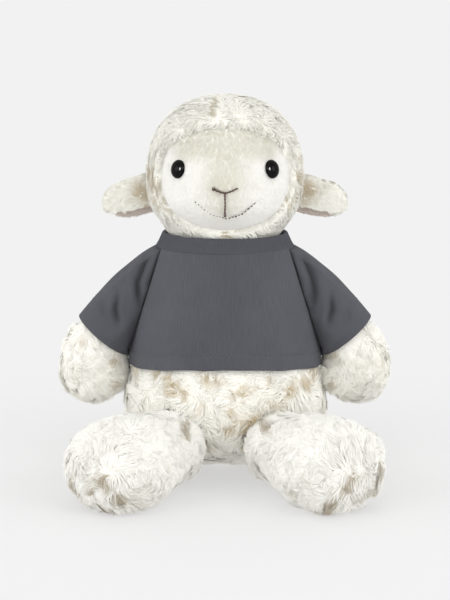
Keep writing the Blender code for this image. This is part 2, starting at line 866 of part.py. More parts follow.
def make_limb(form, root, radius):
    """Skin and stuffing of a limb, and its socket in the body."""
    skin = form.skin(f"{form.name}_skin", wool, LIMB_WOOL_THICKNESS)
    inset = LIMB_WOOL_THICKNESS + STUFFING_GAP
    form.filling(f"{form.name}_stuffing", fibre, inset, skipped=1)
    socket = ball_cutter(f"{form.name}_socket", root, radius + SOCKET_GAP)
    boolean(body_skin, socket)
    boolean(body_skin, form.cutter(SEAM_GAP))
    boolean(body_stuffing, socket)
    carry(empty_at(f"{form.name}_swing", root), named(skin.name, f"{form.name}_stuffing"))
    return skin


for side, sign in SIDES:
    make_limb(*arm_form(side, sign), ARM_ROOT_RADIUS)
    leg_skin = make_limb(*leg_form(side, sign), LEG_ROOT_RADIUS)
    boolean(leg_skin, floor)


# Tail

def make_tail():
    root = Vector((0, TAIL_ROOT_SHARE * BODY_DEPTH, TAIL_ROOT_HEIGHT))
    along = Vector((0, math.sin(TAIL_SLOPE), -math.cos(TAIL_SLOPE)))
    points = [root + along * (share * TAIL_LENGTH) for share, _ in TAIL_SECTION_SHARES]
    halves = [width * TAIL_WIDTH / 2 for _, width in TAIL_SECTION_SHARES]
    sections = path_sections(root, points, halves, halves, X_AXIS)
    form = SoftForm("tail", sections, LIMB_SIDES, root, root + along * TAIL_LENGTH)
    tail = link(form.cutter(0.0).data.copy(), "tail", wool)
    smooth(tail)
    boolean(tail, body_seat)
    carry(empty_at("tail_lift", root + Z_AXIS * TAIL_HINGE_RISE), [tail])


make_tail()


# T-shirt

COLLAR_TOP = NECK_HEIGHT + COLLAR_TOP_ABOVE_NECK
COLLAR_BASE = COLLAR_TOP - COLLAR_HEIGHT
COLLAR_WALL = 2 * JERSEY_THICKNESS
ARMPIT_HEIGHT = NECK_HEIGHT - ARM_ROOT_BELOW_NECK - ARMPIT_BELOW_ARM_ROOT


def collar_radii():
    """The neckband's outer radius at its top edge and at its seam, clear of the head's wool."""
    share = COLLAR_TOP_ABOVE_NECK / HEAD_HEIGHT
    width, depth, forward = (section_at(HEAD_SECTION_SHARES, share, i) for i in (1, 2, 3))
    head_reach = max(width * HEAD_WIDTH / 2, (depth / 2 + abs(forward)) * HEAD_DEPTH)
    top = head_reach + WOOL_LOFT + COLLAR_EASE + COLLAR_WALL
    return top, top + COLLAR_FLARE


COLLAR_TOP_RADIUS, COLLAR_BASE_RADIUS = collar_radii()


def shirt_halves(z):
    """Half width and half depth of the shirt's outside at height z."""
    share = (COLLAR_BASE - z) / (COLLAR_BASE - HEM_HEIGHT)
    puff = SHIRT_FULLNESS * math.sin(math.pi * min(max(share, 0.0), 1.0))
    return tuple(
        COLLAR_BASE_RADIUS + (half + HEM_EASE - COLLAR_BASE_RADIUS) * share + puff
        for half in body_halves(HEM_HEIGHT)
    )


def raglan_x(z):
    """Where the raglan seam stands at height z, measured from the middle."""
    share = (COLLAR_BASE - z) / (COLLAR_BASE - ARMPIT_HEIGHT)
    top = RAGLAN_TOP_SHARE * COLLAR_BASE_RADIUS
    armpit = shirt_halves(ARMPIT_HEIGHT)[0]
    return top + (armpit - top) * share


def raglan_y(z):
    """How far in front of the middle the raglan seam stands at height z."""
    half_width, half_depth = shirt_halves(z)
    share = min(raglan_x(z) / half_width, 1.0)
    return half_depth * math.sqrt(1 - share * share)


def fold_share(place, folds):
    """How far the folds of a table lift the cloth at a place across them, as a share."""
    return sum(
        depth * math.exp(-(((place - middle) / spread) ** 2)) for middle, spread, depth in folds
    )


def shirt_fold(point, share):
    """How far the shirt's folds lift a point, from nothing at the collar to most at the hem."""
    across = point.x / raglan_x(max(point.z, ARMPIT_HEIGHT))
    fade = min(max((1 - abs(across)) / SHIRT_FOLD_FADE_SHARE, 0.0), 1.0)
    place = across if point.y < 0 else -across
    return SHIRT_FOLD_DEPTH * share * fade * fold_share(place, SHIRT_FOLD_SHARES)


def shirt_tube_loops():
    loops = []
    for section in range(SHIRT_SECTIONS + 1):
        share = section / SHIRT_SECTIONS
        z = COLLAR_BASE - SEAM_GAP + (HEM_HEIGHT - COLLAR_BASE) * share
        half_width, half_depth = shirt_halves(z)
        loop = ring(Vector((0, 0, z)), X_AXIS, Y_AXIS, half_width, half_depth, SHIRT_SIDES)
        for point in loop:
            lift = shirt_fold(point, share)
            outward = Vector((point.x, point.y, 0)).normalized()
            point.z += HEM_RISE * share * (point.y / half_depth) ** 2
            point += outward * lift
        loops.append(loop)
    return loops


def raglan_cutter(sign, far, near=0.0):
    """A wedge from the raglan seam, moved by near along X, sideways as far as far."""
    name = f"raglan_cut_{sign}"
    low, high = ARMPIT_HEIGHT, COLLAR_TOP + CUT_OVERRUN
    section = [
        (sign * (raglan_x(low) + near), low),
        (sign * (raglan_x(high) + near), high),
        (sign * far, high),
        (sign * far, low),
    ]
    loops = [[Vector((x, y, z)) for x, z in section] for y in (-BODY_DEPTH, BODY_DEPTH)]
    middle_x = sign * (far + raglan_x((low + high) / 2)) / 2
    ends = [Vector((middle_x, y, (low + high) / 2)) for y in (-BODY_DEPTH, BODY_DEPTH)]
    return link(loft_mesh(name, loops, *ends), name)


def make_shirt_panels():
    armholes = [raglan_cutter(sign, BODY_WIDTH + arm_reach()) for _, sign in SIDES]
    armholes += named(*(f"arm_{side}_seat" for side, _ in SIDES))
    for name, direction in (("shirt_front", -1), ("shirt_back", 1)):
        panel = link(loft_mesh(name, shirt_tube_loops()), name, jersey)
        thicken(panel, JERSEY_THICKNESS, 0.0)
        for armhole in armholes:
            boolean(panel, armhole)
        low, high = sorted((-direction * BODY_DEPTH, direction * SEAM_GAP / 2))
        half = box_between(
            f"{name}_trim",
            Vector((-BODY_WIDTH, low, 0)),
            Vector((BODY_WIDTH, high, COLLAR_TOP)),
        )
        boolean(panel, half)


def make_neckband():
    """A doubled rib band, rounded over at its top edge."""
    outside = [
        (COLLAR_BASE_RADIUS - COLLAR_FLARE * inward, COLLAR_BASE + COLLAR_HEIGHT * height)
        for height, inward in COLLAR_PROFILE_SHARES
    ]
    inside = [(radius - COLLAR_WALL, z) for radius, z in reversed(outside)]
    crest = (COLLAR_TOP_RADIUS - COLLAR_WALL / 2, COLLAR_TOP + COLLAR_CREST)
    points = [(radius, 0.0, z) for radius, z in reversed(outside + [crest] + inside)]
    edges = [(i, (i + 1) % len(points)) for i in range(len(points))]
    profile = bpy.data.meshes.new("neckband")
    profile.from_pydata(points, edges, [])
    band = link(profile, "neckband", jersey)
    turn = band.modifiers.new("turn", "SCREW")
    turn.steps = turn.render_steps = SHIRT_SIDES
    turn.use_merge_vertices = True
    turn.merge_threshold = MERGE_DISTANCE


def armhole_loop(sign):
    """The sleeve's seam with the shirt: across under the collar, down the front, up the back."""
    top = COLLAR_BASE - SEAM_GAP
    arc_half = raglan_y(top)
    loop = []
    for step in range(COLLAR_ARC_POINTS):
        y = arc_half * (1 - 2 * (step + 0.5) / COLLAR_ARC_POINTS)
        x = math.sqrt(COLLAR_BASE_RADIUS ** 2 - y * y)
        loop.append(Vector((sign * x, y, top)))
    down = [step / (SEAM_POINTS - 1) for step in range(SEAM_POINTS)]
    bottom = ARMPIT_HEIGHT + JERSEY_THICKNESS
    heights = [top + (bottom - top) * math.sin(share * math.pi / 2) for share in down]
    front = [Vector((sign * raglan_x(z), -raglan_y(z), z)) for z in heights]
    back = [Vector((p.x, -p.y, p.z)) for p in reversed(front[:-1])]
    return loop + front + back


def cuff_loop(sign, count):
    """The sleeve's open end, with as many points as the armhole and in the same order."""
    centre = arm_root(sign) + Vector(
        (sign * CUFF_OUT_SHARE * arm_reach(), 0, -CUFF_DOWN_SHARE * ARM_DROP)
    )
    arm_half = section_at(ARM_SECTION_SHARES, CUFF_OUT_SHARE, 2) * HAND_WIDTH / 2
    upward = Vector((sign * math.cos(CUFF_TILT), 0, math.sin(CUFF_TILT)))
    loop = []
    for step in range(count):
        turn = 2 * math.pi * (step - (COLLAR_ARC_POINTS - 1) / 2) / count
        y = -math.sin(turn) * (arm_half + CUFF_DEPTH_EASE)
        rise = math.cos(turn) * (arm_half + CUFF_EASE)
        loop.append(centre + upward * rise + Y_AXIS * y)
    return loop


def clear_of_arm(point, sign):
    """The point, moved out where it lies nearer to the arm than the sleeve's wall and ease."""
    root, reach = arm_root(sign), arm_reach()
    path = [(root, ARM_ROOT_RADIUS)]
    for out, down, width in ARM_SECTION_SHARES:
        middle = root + Vector((sign * out * reach, 0, -down * ARM_DROP))
        path.append((middle, width * HAND_WIDTH / 2))
    for (start, start_half), (end, end_half) in zip(path, path[1:]):
        nearest, share = intersect_point_line(point, start, end)
        share = min(max(share, 0.0), 1.0)
        nearest = start.lerp(end, share)
        half = start_half + (end_half - start_half) * share
        least = half + SLEEVE_EASE + JERSEY_THICKNESS
        if (point - nearest).length < least:
            point = nearest + (point - nearest).normalized() * least
    return point


def sleeve_lifts(count, share):
    """How far each point of a sleeve's loop is lifted, at share of the way to the cuff."""
    rise = math.sin(math.pi * share)
    folds = [fold_share(i / count, SLEEVE_FOLD_SHARES) for i in range(count)]
    return [rise * (SLEEVE_PUFF + SLEEVE_FOLD_DEPTH * fold) for fold in folds]


def make_sleeve(side, sign):
    armhole = armhole_loop(sign)
    cuff = cuff_loop(sign, len(armhole))
    loops = [armhole]
    for step in range(1, SLEEVE_LOOPS - 1):
        share = step / (SLEEVE_LOOPS - 1)
        loop = [near.lerp(far, share) for near, far in zip(armhole, cuff)]
        middle = sum(loop, Vector()) / len(loop)
        lifts = sleeve_lifts(len(loop), share)
        loop = [p + (p - middle).normalized() * lift for p, lift in zip(loop, lifts)]
        loops.append([clear_of_arm(p, sign) for p in loop])
    loops.append([clear_of_arm(p, sign) for p in cuff])
    name = f"sleeve_{side}"
    sleeve = link(loft_mesh(name, loops), name, jersey)
    thicken(sleeve, JERSEY_THICKNESS, 0.0)
    boolean(sleeve, raglan_cutter(sign, 0.0, SEAM_GAP))
    boolean(sleeve, side_cutter(sign))


def side_cutter(sign):
    """A block round the shirt's side below the armpit, larger by the seam's gap, also upward."""
    widest = max(shirt_halves(z)[0] for z in (HEM_HEIGHT, ARMPIT_HEIGHT)) + SEAM_GAP
    low, high = sorted((0.0, sign * widest))
    return box_between(
        f"side_cut_{sign}",
        Vector((low, -BODY_DEPTH, 0)),
        Vector((high, BODY_DEPTH, ARMPIT_HEIGHT + SEAM_GAP)),
    )


make_shirt_panels()
make_neckband()
for side, sign in SIDES:
    make_sleeve(side, sign)


# What moves with what

def parent_everything():
    head_turn = empty_at("head_turn", Vector((0, 0, NECK_HEIGHT)))
    face = ["head_wool", "face_panel", "head_stuffing", "ear_left_flop", "ear_right_flop"]
    face += ["nose_stitching", "lip_stitching", "mouth_stitching"]
    face += [f"{piece}_{side}" for piece in ("eye", "eye_washer") for side, _ in SIDES]
    carry(head_turn, named(*face))
    for side, _ in SIDES:
        carry(bpy.data.objects[f"arm_{side}_swing"], named(f"sleeve_{side}"))
    stand = empty_at("stand", Vector())
    others = [obj for obj in sheep.objects if obj.parent is None and obj is not stand]
    carry(stand, others + list(cutters.objects))
    return stand


def centre_footprint(stand):
    """Moves the sheep so that the middle of its footprint is the origin."""
    bpy.context.view_layer.update()
    graph = bpy.context.evaluated_depsgraph_get()
    depths = []
    for obj in sheep.objects:
        if obj.type == "EMPTY":
            continue
        shape = obj.evaluated_get(graph)
        depths += [(shape.matrix_world @ Vector(corner)).y for corner in shape.bound_box]
    stand.location.y = -(min(depths) + max(depths)) / 2


centre_footprint(parent_everything())
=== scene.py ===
import math

import bpy
import numpy as np
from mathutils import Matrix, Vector


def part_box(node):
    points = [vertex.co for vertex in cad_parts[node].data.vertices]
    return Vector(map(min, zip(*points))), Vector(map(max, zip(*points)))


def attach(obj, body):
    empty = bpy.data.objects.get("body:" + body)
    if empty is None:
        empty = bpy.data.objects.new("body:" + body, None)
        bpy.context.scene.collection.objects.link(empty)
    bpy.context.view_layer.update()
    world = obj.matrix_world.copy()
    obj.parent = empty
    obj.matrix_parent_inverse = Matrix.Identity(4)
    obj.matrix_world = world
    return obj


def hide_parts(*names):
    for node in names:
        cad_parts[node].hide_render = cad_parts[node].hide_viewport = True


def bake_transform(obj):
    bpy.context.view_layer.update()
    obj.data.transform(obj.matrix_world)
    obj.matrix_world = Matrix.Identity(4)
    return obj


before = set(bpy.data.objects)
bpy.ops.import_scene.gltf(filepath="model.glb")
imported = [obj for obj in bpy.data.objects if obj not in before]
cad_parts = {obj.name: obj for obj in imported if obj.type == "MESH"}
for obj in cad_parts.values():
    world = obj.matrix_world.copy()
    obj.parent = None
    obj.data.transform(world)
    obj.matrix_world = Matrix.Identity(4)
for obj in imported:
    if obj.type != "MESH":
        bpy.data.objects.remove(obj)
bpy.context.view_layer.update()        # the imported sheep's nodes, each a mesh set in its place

# All shapes are worked out in millimetres about the sheep's own middle,
# and moved into place when a mesh is made.
mm = 0.001
bandLow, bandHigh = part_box("neckband")
middleY = (bandLow.y + bandHigh.y) / 2 / mm
sides = (("left", 1), ("right", -1))
xAxis, yAxis, zAxis = np.eye(3)
onePole = 1e-6           # a row of points within this is a pole


def say(stage):
    # one line for each stage that is done
    print("sheep:", stage, flush=True)


# Small helpers on whole arrays of points

def unit(vectors):
    # each vector over its own length
    return vectors / np.maximum(np.linalg.norm(vectors, axis=-1, keepdims=True), 1e-9)


def dot(a, b):
    # the sum of the products of two vectors' coordinates
    return (a * b).sum(-1, keepdims=True)


def ease(values, low, high):
    # 0 below low, 1 above high, and a smooth step between
    t = np.clip((values - low) / (high - low), 0, 1)
    return t * t * (3 - 2 * t)


def hump(values, middle, spread):
    # a bell curve of height 1
    return np.exp(-(((values - middle) / spread) ** 2))


def near(points, centre, radius, depth=1.0):
    # 1 at the centre, falling away as a bell curve; a depth below 1 stretches it front to back
    away = (points - np.array(centre, float)) * [1, depth, 1]
    return np.exp(-(away ** 2).sum(-1) / radius ** 2)


def waves(points, size, seed, count=7):
    # the sum of a few sine waves that run in random directions, each about size mm from crest to crest
    draw = np.random.default_rng(seed)
    ways = unit(draw.normal(size=(count, 3))) * draw.uniform(0.7, 1.5, (count, 1)) * 2 * math.pi / size
    turns = draw.uniform(0, 2 * math.pi, count)
    return np.sin(points @ ways.T + turns).sum(-1) * math.sqrt(2 / count)


def splineRows(controls, count):
    # a uniform cubic spline: each row is a weighted mean of four neighbouring control rows
    spans = len(controls) - 3
    t = np.linspace(0, spans, count)
    first = np.minimum(t.astype(int), spans - 1)
    f = (t - first)[:, None]
    weights = ((1 - f) ** 3, 3 * f ** 3 - 6 * f ** 2 + 4, 3 * f + 3 * f ** 2 - 3 * f ** 3 + 1, f ** 3)
    return sum(weight * controls[first + k] for k, weight in enumerate(weights)) / 6


def gridNormals(grid, wrapped, sign=0):
    # the cross product of the two ways along the grid, turned outwards; a pole takes its neighbours' mean
    if wrapped:
        aroundStep = np.roll(grid, -1, 1) - np.roll(grid, 1, 1)
    else:
        aroundStep = np.gradient(grid, axis=1)
    normals = unit(np.cross(aroundStep, np.gradient(grid, axis=0)))
    if wrapped:
        for end, beside in ((0, 1), (-1, -2)):
            if np.ptp(grid[end], axis=0).max() < onePole:
                normals[end] = unit(normals[beside].mean(0))
    if not sign:
        sign = np.sign((normals * (grid - grid.mean((0, 1)))).sum())
    return normals * sign


def cells(rows, cols):
    # the row and the column of every cell
    i, j = np.meshgrid(np.arange(rows), np.arange(cols), indexing="ij")
    return i.ravel(), j.ravel()


def runLengths(grid, axis=0):
    # how far each point lies along the grid or path: the running sum of its steps' lengths
    steps = np.linalg.norm(np.diff(grid, axis=axis), axis=-1)
    start = np.zeros_like(np.take(steps, [0], axis))
    return np.concatenate([start, np.cumsum(steps, axis)], axis)


def placesAlong(marks, lengths, values):
    # each coordinate read off by its length along the path
    return np.stack([np.interp(marks, lengths, values[:, k]) for k in range(3)], 1)


def outsideArea(grid):
    # the sum over the cells of the length of the cross product of two sides
    down, across = np.diff(grid, axis=0)[:, :-1], np.diff(grid, axis=1)[:-1]
    return np.linalg.norm(np.cross(down, across), axis=-1).sum()


# Meshes. A part is points, faces of point numbers, and the faces' corners on the bake map.

sideMargin, edgeBand = 0.02, 0.015      # the bake map's margin beside an open sheet, and its edge's share
backingMap = (0.02, 0.46)               # the pile's backing on the bake map, below its blades

def closedPart(grid, low=0.0, high=1.0):
    # a grid that wraps round and ends in a pole at its first and last row
    rows, cols = grid.shape[:2]
    inner = grid[1:-1].reshape(-1, 3)
    points = np.concatenate([inner, grid[0, :1], grid[-1, :1]])
    i, j = cells(rows - 3, cols)
    k = (j + 1) % cols
    quads = np.stack([i * cols + j, i * cols + k, (i + 1) * cols + k, (i + 1) * cols + j], 1)
    u = np.stack([j, j + 1, j + 1, j], 1) / cols
    v = np.stack([i, i, i + 1, i + 1], 1) + 1
    j = np.arange(cols)
    k = (j + 1) % cols
    last = (rows - 3) * cols
    tips = np.concatenate([
        np.stack([k, j, np.full(cols, len(inner))], 1),
        np.stack([last + j, last + k, np.full(cols, len(inner) + 1)], 1),
    ])
    tipU = np.concatenate([np.stack([j + 1, j, j + 0.5], 1), np.stack([j, j + 1, j + 0.5], 1)]) / cols
    tipV = np.repeat([[1, 1, 0], [rows - 2, rows - 2, rows - 1]], cols, 0)
    normals = gridNormals(grid, True)
    middle = rows // 2
    across = np.cross(grid[middle, 1] - grid[middle, 0], grid[middle + 1, 0] - grid[middle, 0])
    if across @ normals[middle, 0] < 0:
        quads, u, v = quads[:, ::-1], u[:, ::-1], v[:, ::-1]
        tips, tipU, tipV = tips[:, ::-1], tipU[:, ::-1], tipV[:, ::-1]
    scale = (high - low) / (rows - 1)
    faces = [quads, tips]
    maps = [np.stack([u, low + v * scale], -1), np.stack([tipU, low + tipV * scale], -1)]
    return {"points": points, "faces": faces, "maps": maps}


def shellPart(grid, thickness, wrapped=False, sign=0, cloth=None):
    # a sheet: the outside, then the same grid moved in along its normals, joined all round
    rows, cols = grid.shape[:2]
    normals = gridNormals(grid, wrapped, sign)
    inside = grid - normals * np.broadcast_to(thickness, (rows, cols))[..., None]
    points = np.concatenate([grid, inside[::-1]]).reshape(-1, 3)
    total = 2 * rows
    wide = cols if wrapped else cols - 1
    i, j = cells(total, wide)
    ni, nj = (i + 1) % total, (j + 1) % cols
    faces = [np.stack([i * cols + j, i * cols + nj, ni * cols + nj, ni * cols + j], 1)]
    margin = 0.0 if wrapped else sideMargin
    u = margin + np.stack([j, j + 1, j + 1, j], 1) / wide * (1 - 2 * margin)
    v = np.stack([i, i, i + 1, i + 1], 1) / total
    maps = [np.stack([u, v], -1)]
    clothMaps = []
    if cloth is not None:
        both = np.concatenate([cloth, cloth[::-1]])
        if wrapped:
            # the last column's far side lies one more step along the cloth
            girth = both[0, -1, 0] - both[0, 0, 0] + (both[0, 1, 0] - both[0, 0, 0])
            both = np.concatenate([both, both[:, :1] + [girth, 0]], 1)
        clothMaps = [np.stack([both[i, j], both[i, j + 1], both[ni, j + 1], both[ni, j]], 1)]
    if not wrapped:
        r = np.arange(rows - 1)
        for column, lowU, highU, order in ((0, 0.0, edgeBand, 1), (cols - 1, 1 - edgeBand, 1.0, -1)):
            edge = np.stack([r, r + 1, total - 2 - r, total - 1 - r], 1) * cols + column
            cornerU = np.tile([lowU, lowU, highU, highU], (rows - 1, 1))
            cornerV = np.stack([r, r + 1, r + 1, r], 1) / total
            faces.append(edge[:, ::order])
            maps.append(np.stack([cornerU, cornerV], -1)[:, ::order])
            if cloth is not None:
                upper, lower = cloth[r, column], cloth[r + 1, column]
                clothMaps.append(np.stack([upper, lower, lower, upper], 1)[:, ::order])
    across = np.cross(grid[1, 1] - grid[1, 0], grid[2, 0] - grid[1, 0])
    if across @ normals[1, 0] < 0:
        faces, maps, clothMaps = ([x[:, ::-1] for x in lot] for lot in (faces, maps, clothMaps))
    return {"points": points, "faces": faces, "maps": maps, "cloth": clothMaps}


def addObject(name, data):
    # a new object in the scene
    added = bpy.data.objects.new(name, data)
    bpy.context.scene.collection.objects.link(added)
    return added


def makePiece(name, parts, finish, body, replaced=()):
    # the parts in one mesh, moved back by the sheep's middle and turned to metres, riding on the body
    points, faceLists, mapLists, clothLists, smooth, folds = [], [], [], [], [], []
    start = 0
    for part in parts:
        points.append(part["points"])
        folds.append(part.get("fold", np.zeros(len(part["points"]))))
        clothParts = part.get("cloth") or [None] * len(part["faces"])
        for faces, corners, cloth in zip(part["faces"], part["maps"], clothParts):
            faceLists.append(faces + start)
            mapLists.append(corners)
            clothLists.append(cloth if cloth is not None else corners)
            smooth.append(np.full(len(faces), part.get("smooth", True)))
        start += len(part["points"])
    points = (np.concatenate(points) + [0, middleY, 0]) * mm
    sizes = np.concatenate([np.full(len(f), f.shape[1]) for f in faceLists])
    corners = np.concatenate([f.ravel() for f in faceLists])
    mesh = bpy.data.meshes.new(name)
    mesh.vertices.add(len(points))
    mesh.vertices.foreach_set("co", points.ravel())
    mesh.loops.add(len(corners))
    mesh.loops.foreach_set("vertex_index", corners)
    mesh.polygons.add(len(sizes))
    mesh.polygons.foreach_set("loop_start", np.cumsum(sizes) - sizes)
    mesh.polygons.foreach_set("use_smooth", np.concatenate(smooth))
    maps = {"OFBake": mapLists}
    if any(part.get("cloth") for part in parts):
        maps["cloth"] = clothLists
    for mapName, lists in maps.items():
        layer = mesh.uv_layers.new(name=mapName)
        layer.uv.foreach_set("vector", np.concatenate([m.reshape(-1, 2) for m in lists]).ravel())
    mesh.update(calc_edges=True)
    # painted shade for creases, seams and the panels' middle goes on as a point attribute
    if any("fold" in part for part in parts):
        attribute = mesh.attributes.new("fold", "FLOAT", "POINT")
        attribute.data.foreach_set("value", np.concatenate(folds))
    mesh.materials.append(finish)
    piece = addObject(name, mesh)
    if body:
        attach(piece, body)
    if replaced:
        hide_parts(*replaced)
    return piece


def makePlush(name, backing, pile, finish, body, replaced):
    # a stuffed piece: the woven backing with its pile on it
    piece = makePiece(name, [backing, pile], finish, body, replaced)


# Materials

class Wire:
    # a socket whose value can be used in plain sums, each of which adds one Math node
    def __init__(self, nodes, socket):
        self.nodes, self.socket = nodes, socket

    def maths(self, operation, *values):
        # one Math node on the values, in their order
        return self.nodes.add("ShaderNodeMath", {"operation": operation}, dict(enumerate(values)))

    def __add__(self, other): return self.maths("ADD", self, other)
    def __radd__(self, other): return self.maths("ADD", other, self)
    def __sub__(self, other): return self.maths("SUBTRACT", self, other)
    def __rsub__(self, other): return self.maths("SUBTRACT", other, self)
    def __mul__(self, other): return self.maths("MULTIPLY", self, other)
    def __rmul__(self, other): return self.maths("MULTIPLY", other, self)
    def __truediv__(self, other): return self.maths("DIVIDE", self, other)
    def __pow__(self, other): return self.maths("POWER", self, other)
    def sine(self): return self.maths("SINE", self)
    def size(self): return self.maths("ABSOLUTE", self)
    def part(self): return self.maths("FRACT", self)


class Nodes:
    # the nodes of a material or of the world
    def __init__(self, owner):
        owner.use_nodes = True
        self.tree = owner.node_tree

    def add(self, kind, settings=None, values=None, out=0):
        # a new node: its settings first, then its sockets' values and links
        node = self.tree.nodes.new(kind)
        for key, value in (settings or {}).items():
            if key == "stops":
                ramp = node.color_ramp
                while len(ramp.elements) < len(value):
                    ramp.elements.new(0.5)
                for element, (position, colour) in zip(ramp.elements, value):
                    element.position, element.color = position, (*colour, 1)
            else:
                setattr(node, key, value)
        for key, value in (values or {}).items():
            if isinstance(value, Wire):
                self.tree.links.new(value.socket, node.inputs[key])
            else:
                node.inputs[key].default_value = value
        return Wire(self, node.outputs[out])

    def others(self, wire):
        # all the outputs of the node that a wire leaves
        return [Wire(self, socket) for socket in wire.socket.node.outputs]

    def close(self, wire, output):
        # the last link, into the tree's output
        self.tree.links.new(wire.socket, self.tree.nodes[output].inputs[0])


class Finish(Nodes):
    # a material being written; its fixed values are set on the shader's own sockets
    def __init__(self, name, **fixed):
        self.material = bpy.data.materials.new(name)
        super().__init__(self.material)
        self.shader = self.tree.nodes["Principled BSDF"]
        for socket, value in fixed.items():
            self.shader.inputs[socket].default_value = value

    def ramp(self, place, *stops):
        # the colour at a place between the stops
        return self.add("ShaderNodeValToRGB", {"stops": stops}, {0: place})

    def mix(self, factor, first, second):
        # first where the factor is 0, second where it is 1
        first, second = ((*c, 1) if isinstance(c, tuple) else c for c in (first, second))
        return self.add("ShaderNodeMix", {"data_type": "RGBA"}, {0: factor, 6: first, 7: second}, 2)

    def map(self, name):
        # across and up on one of the piece's own maps
        place = self.add("ShaderNodeUVMap", {"uv_map": name})
        return self.others(self.add("ShaderNodeSeparateXYZ", None, {0: place}))[:2]

    def objectPoint(self):
        # the place on the piece, in metres
        return self.add("ShaderNodeTexCoord", None, None, "Object")

    def noise(self, vector, scale, detail=2.0):
        # clouds about one over the scale wide
        return self.add("ShaderNodeTexNoise", None, {"Vector": vector, "Scale": scale, "Detail": detail})

    def feed(self, socket, wire):
        # what changes over the surface goes into the shader
        self.tree.links.new(wire.socket, self.shader.inputs[socket])


def pileFinish(name, tip, root, patch, deep):
    # the map's upper half is the pile, with its tone across and root to tip upwards;
    # its lower half is the backing
    cloth = {"Sheen Weight": 0.4, "Sheen Roughness": 0.6, "Specular IOR Level": 0.15}
    finish = Finish(name, Roughness=0.9, **cloth)
    tone, height = finish.map("OFBake")
    rise = (height - 0.5) * 2
    pale = finish.ramp(rise, (0.0, deep), (0.14, root), (0.45, tip), (1.0, tip))
    dull = finish.ramp(rise, (0.0, deep), (0.2, patch), (0.88, patch), (1.0, root))
    shade = finish.ramp(tone, (0.08, (0, 0, 0)), (0.62, (1, 1, 1)))
    strand = finish.mix(shade, dull, pale)
    finish.feed("Base Color", finish.mix(height.maths("GREATER_THAN", height, 0.5), deep, strand))
    return finish.material


# Pile: blades of plush that stand in locks

onGround = {"blade": 0.35, "spread": 0.4, "edge": 0.05, "backing": 0.02}     # heights above the floor, mm
pileMap = {"low": 0.515, "tall": 0.47, "half": 0.008}    # the blades' band on the bake map
stainDepth = 0.15        # a stain reaches in through the pile by its radius over this


def drift(points, size, seed):
    # a slow random wind over the points
    return np.stack([waves(points, size, seed + k) for k in range(3)], -1)


def scatter(grid, count, density, seed, wrapped=True, sign=0):
    # roots over the grid's cells by area times density, each at a random place in its cell
    draw = np.random.default_rng(seed)
    normals = gridNormals(grid, wrapped, sign)

    def corners(values):
        # the values at each cell's four corners
        nextOne = np.roll(values, -1, 1)
        four = (values[:-1], nextOne[:-1], values[1:], nextOne[1:])
        return [x if wrapped else x[:, :-1] for x in four]

    a, b, c, d = corners(grid)
    area = np.linalg.norm(np.cross(b + d - a - c, c + d - a - b), axis=-1) / 4
    weight = (area * density((a + b + c + d) / 4)).ravel()
    steps = (np.arange(count) + draw.uniform(size=count)) / count
    cell = np.minimum(np.searchsorted(np.cumsum(weight) / weight.sum(), steps), len(weight) - 1)
    s, t = draw.uniform(size=(2, count, 1))

    def inside(values):
        # the corners' values, weighted by the place in the cell
        a, b, c, d = (x.reshape(-1, 3)[cell] for x in corners(values))
        return (a * (1 - s) + b * s) * (1 - t) + (c * (1 - s) + d * s) * t

    return inside(grid), unit(inside(normals))


def nearest(points, heads):
    # for each point, the number of the nearest head and how far away it is
    found, gaps = [], []
    for some in np.array_split(points, max(len(points) // 2000, 1)):
        squares = ((some[:, None] - heads[None]) ** 2).sum(-1)
        found.append(squares.argmin(1))
        gaps.append(np.sqrt(squares.min(1)))
    return np.concatenate(found), np.concatenate(gaps)


def strandPaths(roots, normals, lay, angle, curl, length, pile):
    # each step goes out along the normal and over along the lay, leaning further and curling as it goes
    side = np.cross(normals, lay)
    points, steps = [roots], pile["steps"]
    for k in range(steps):
        share = (k + 0.5) / steps
        lean = math.radians(pile["lift"] + (pile["lean"] - pile["lift"]) * share)
        turn = (angle + curl * share)[:, None]
        over = lay * np.cos(turn) + side * np.sin(turn)
        ahead = normals * math.cos(lean) + over * math.sin(lean)
        points.append(points[-1] + ahead * (length / steps)[:, None])
    return np.stack(points, 1)


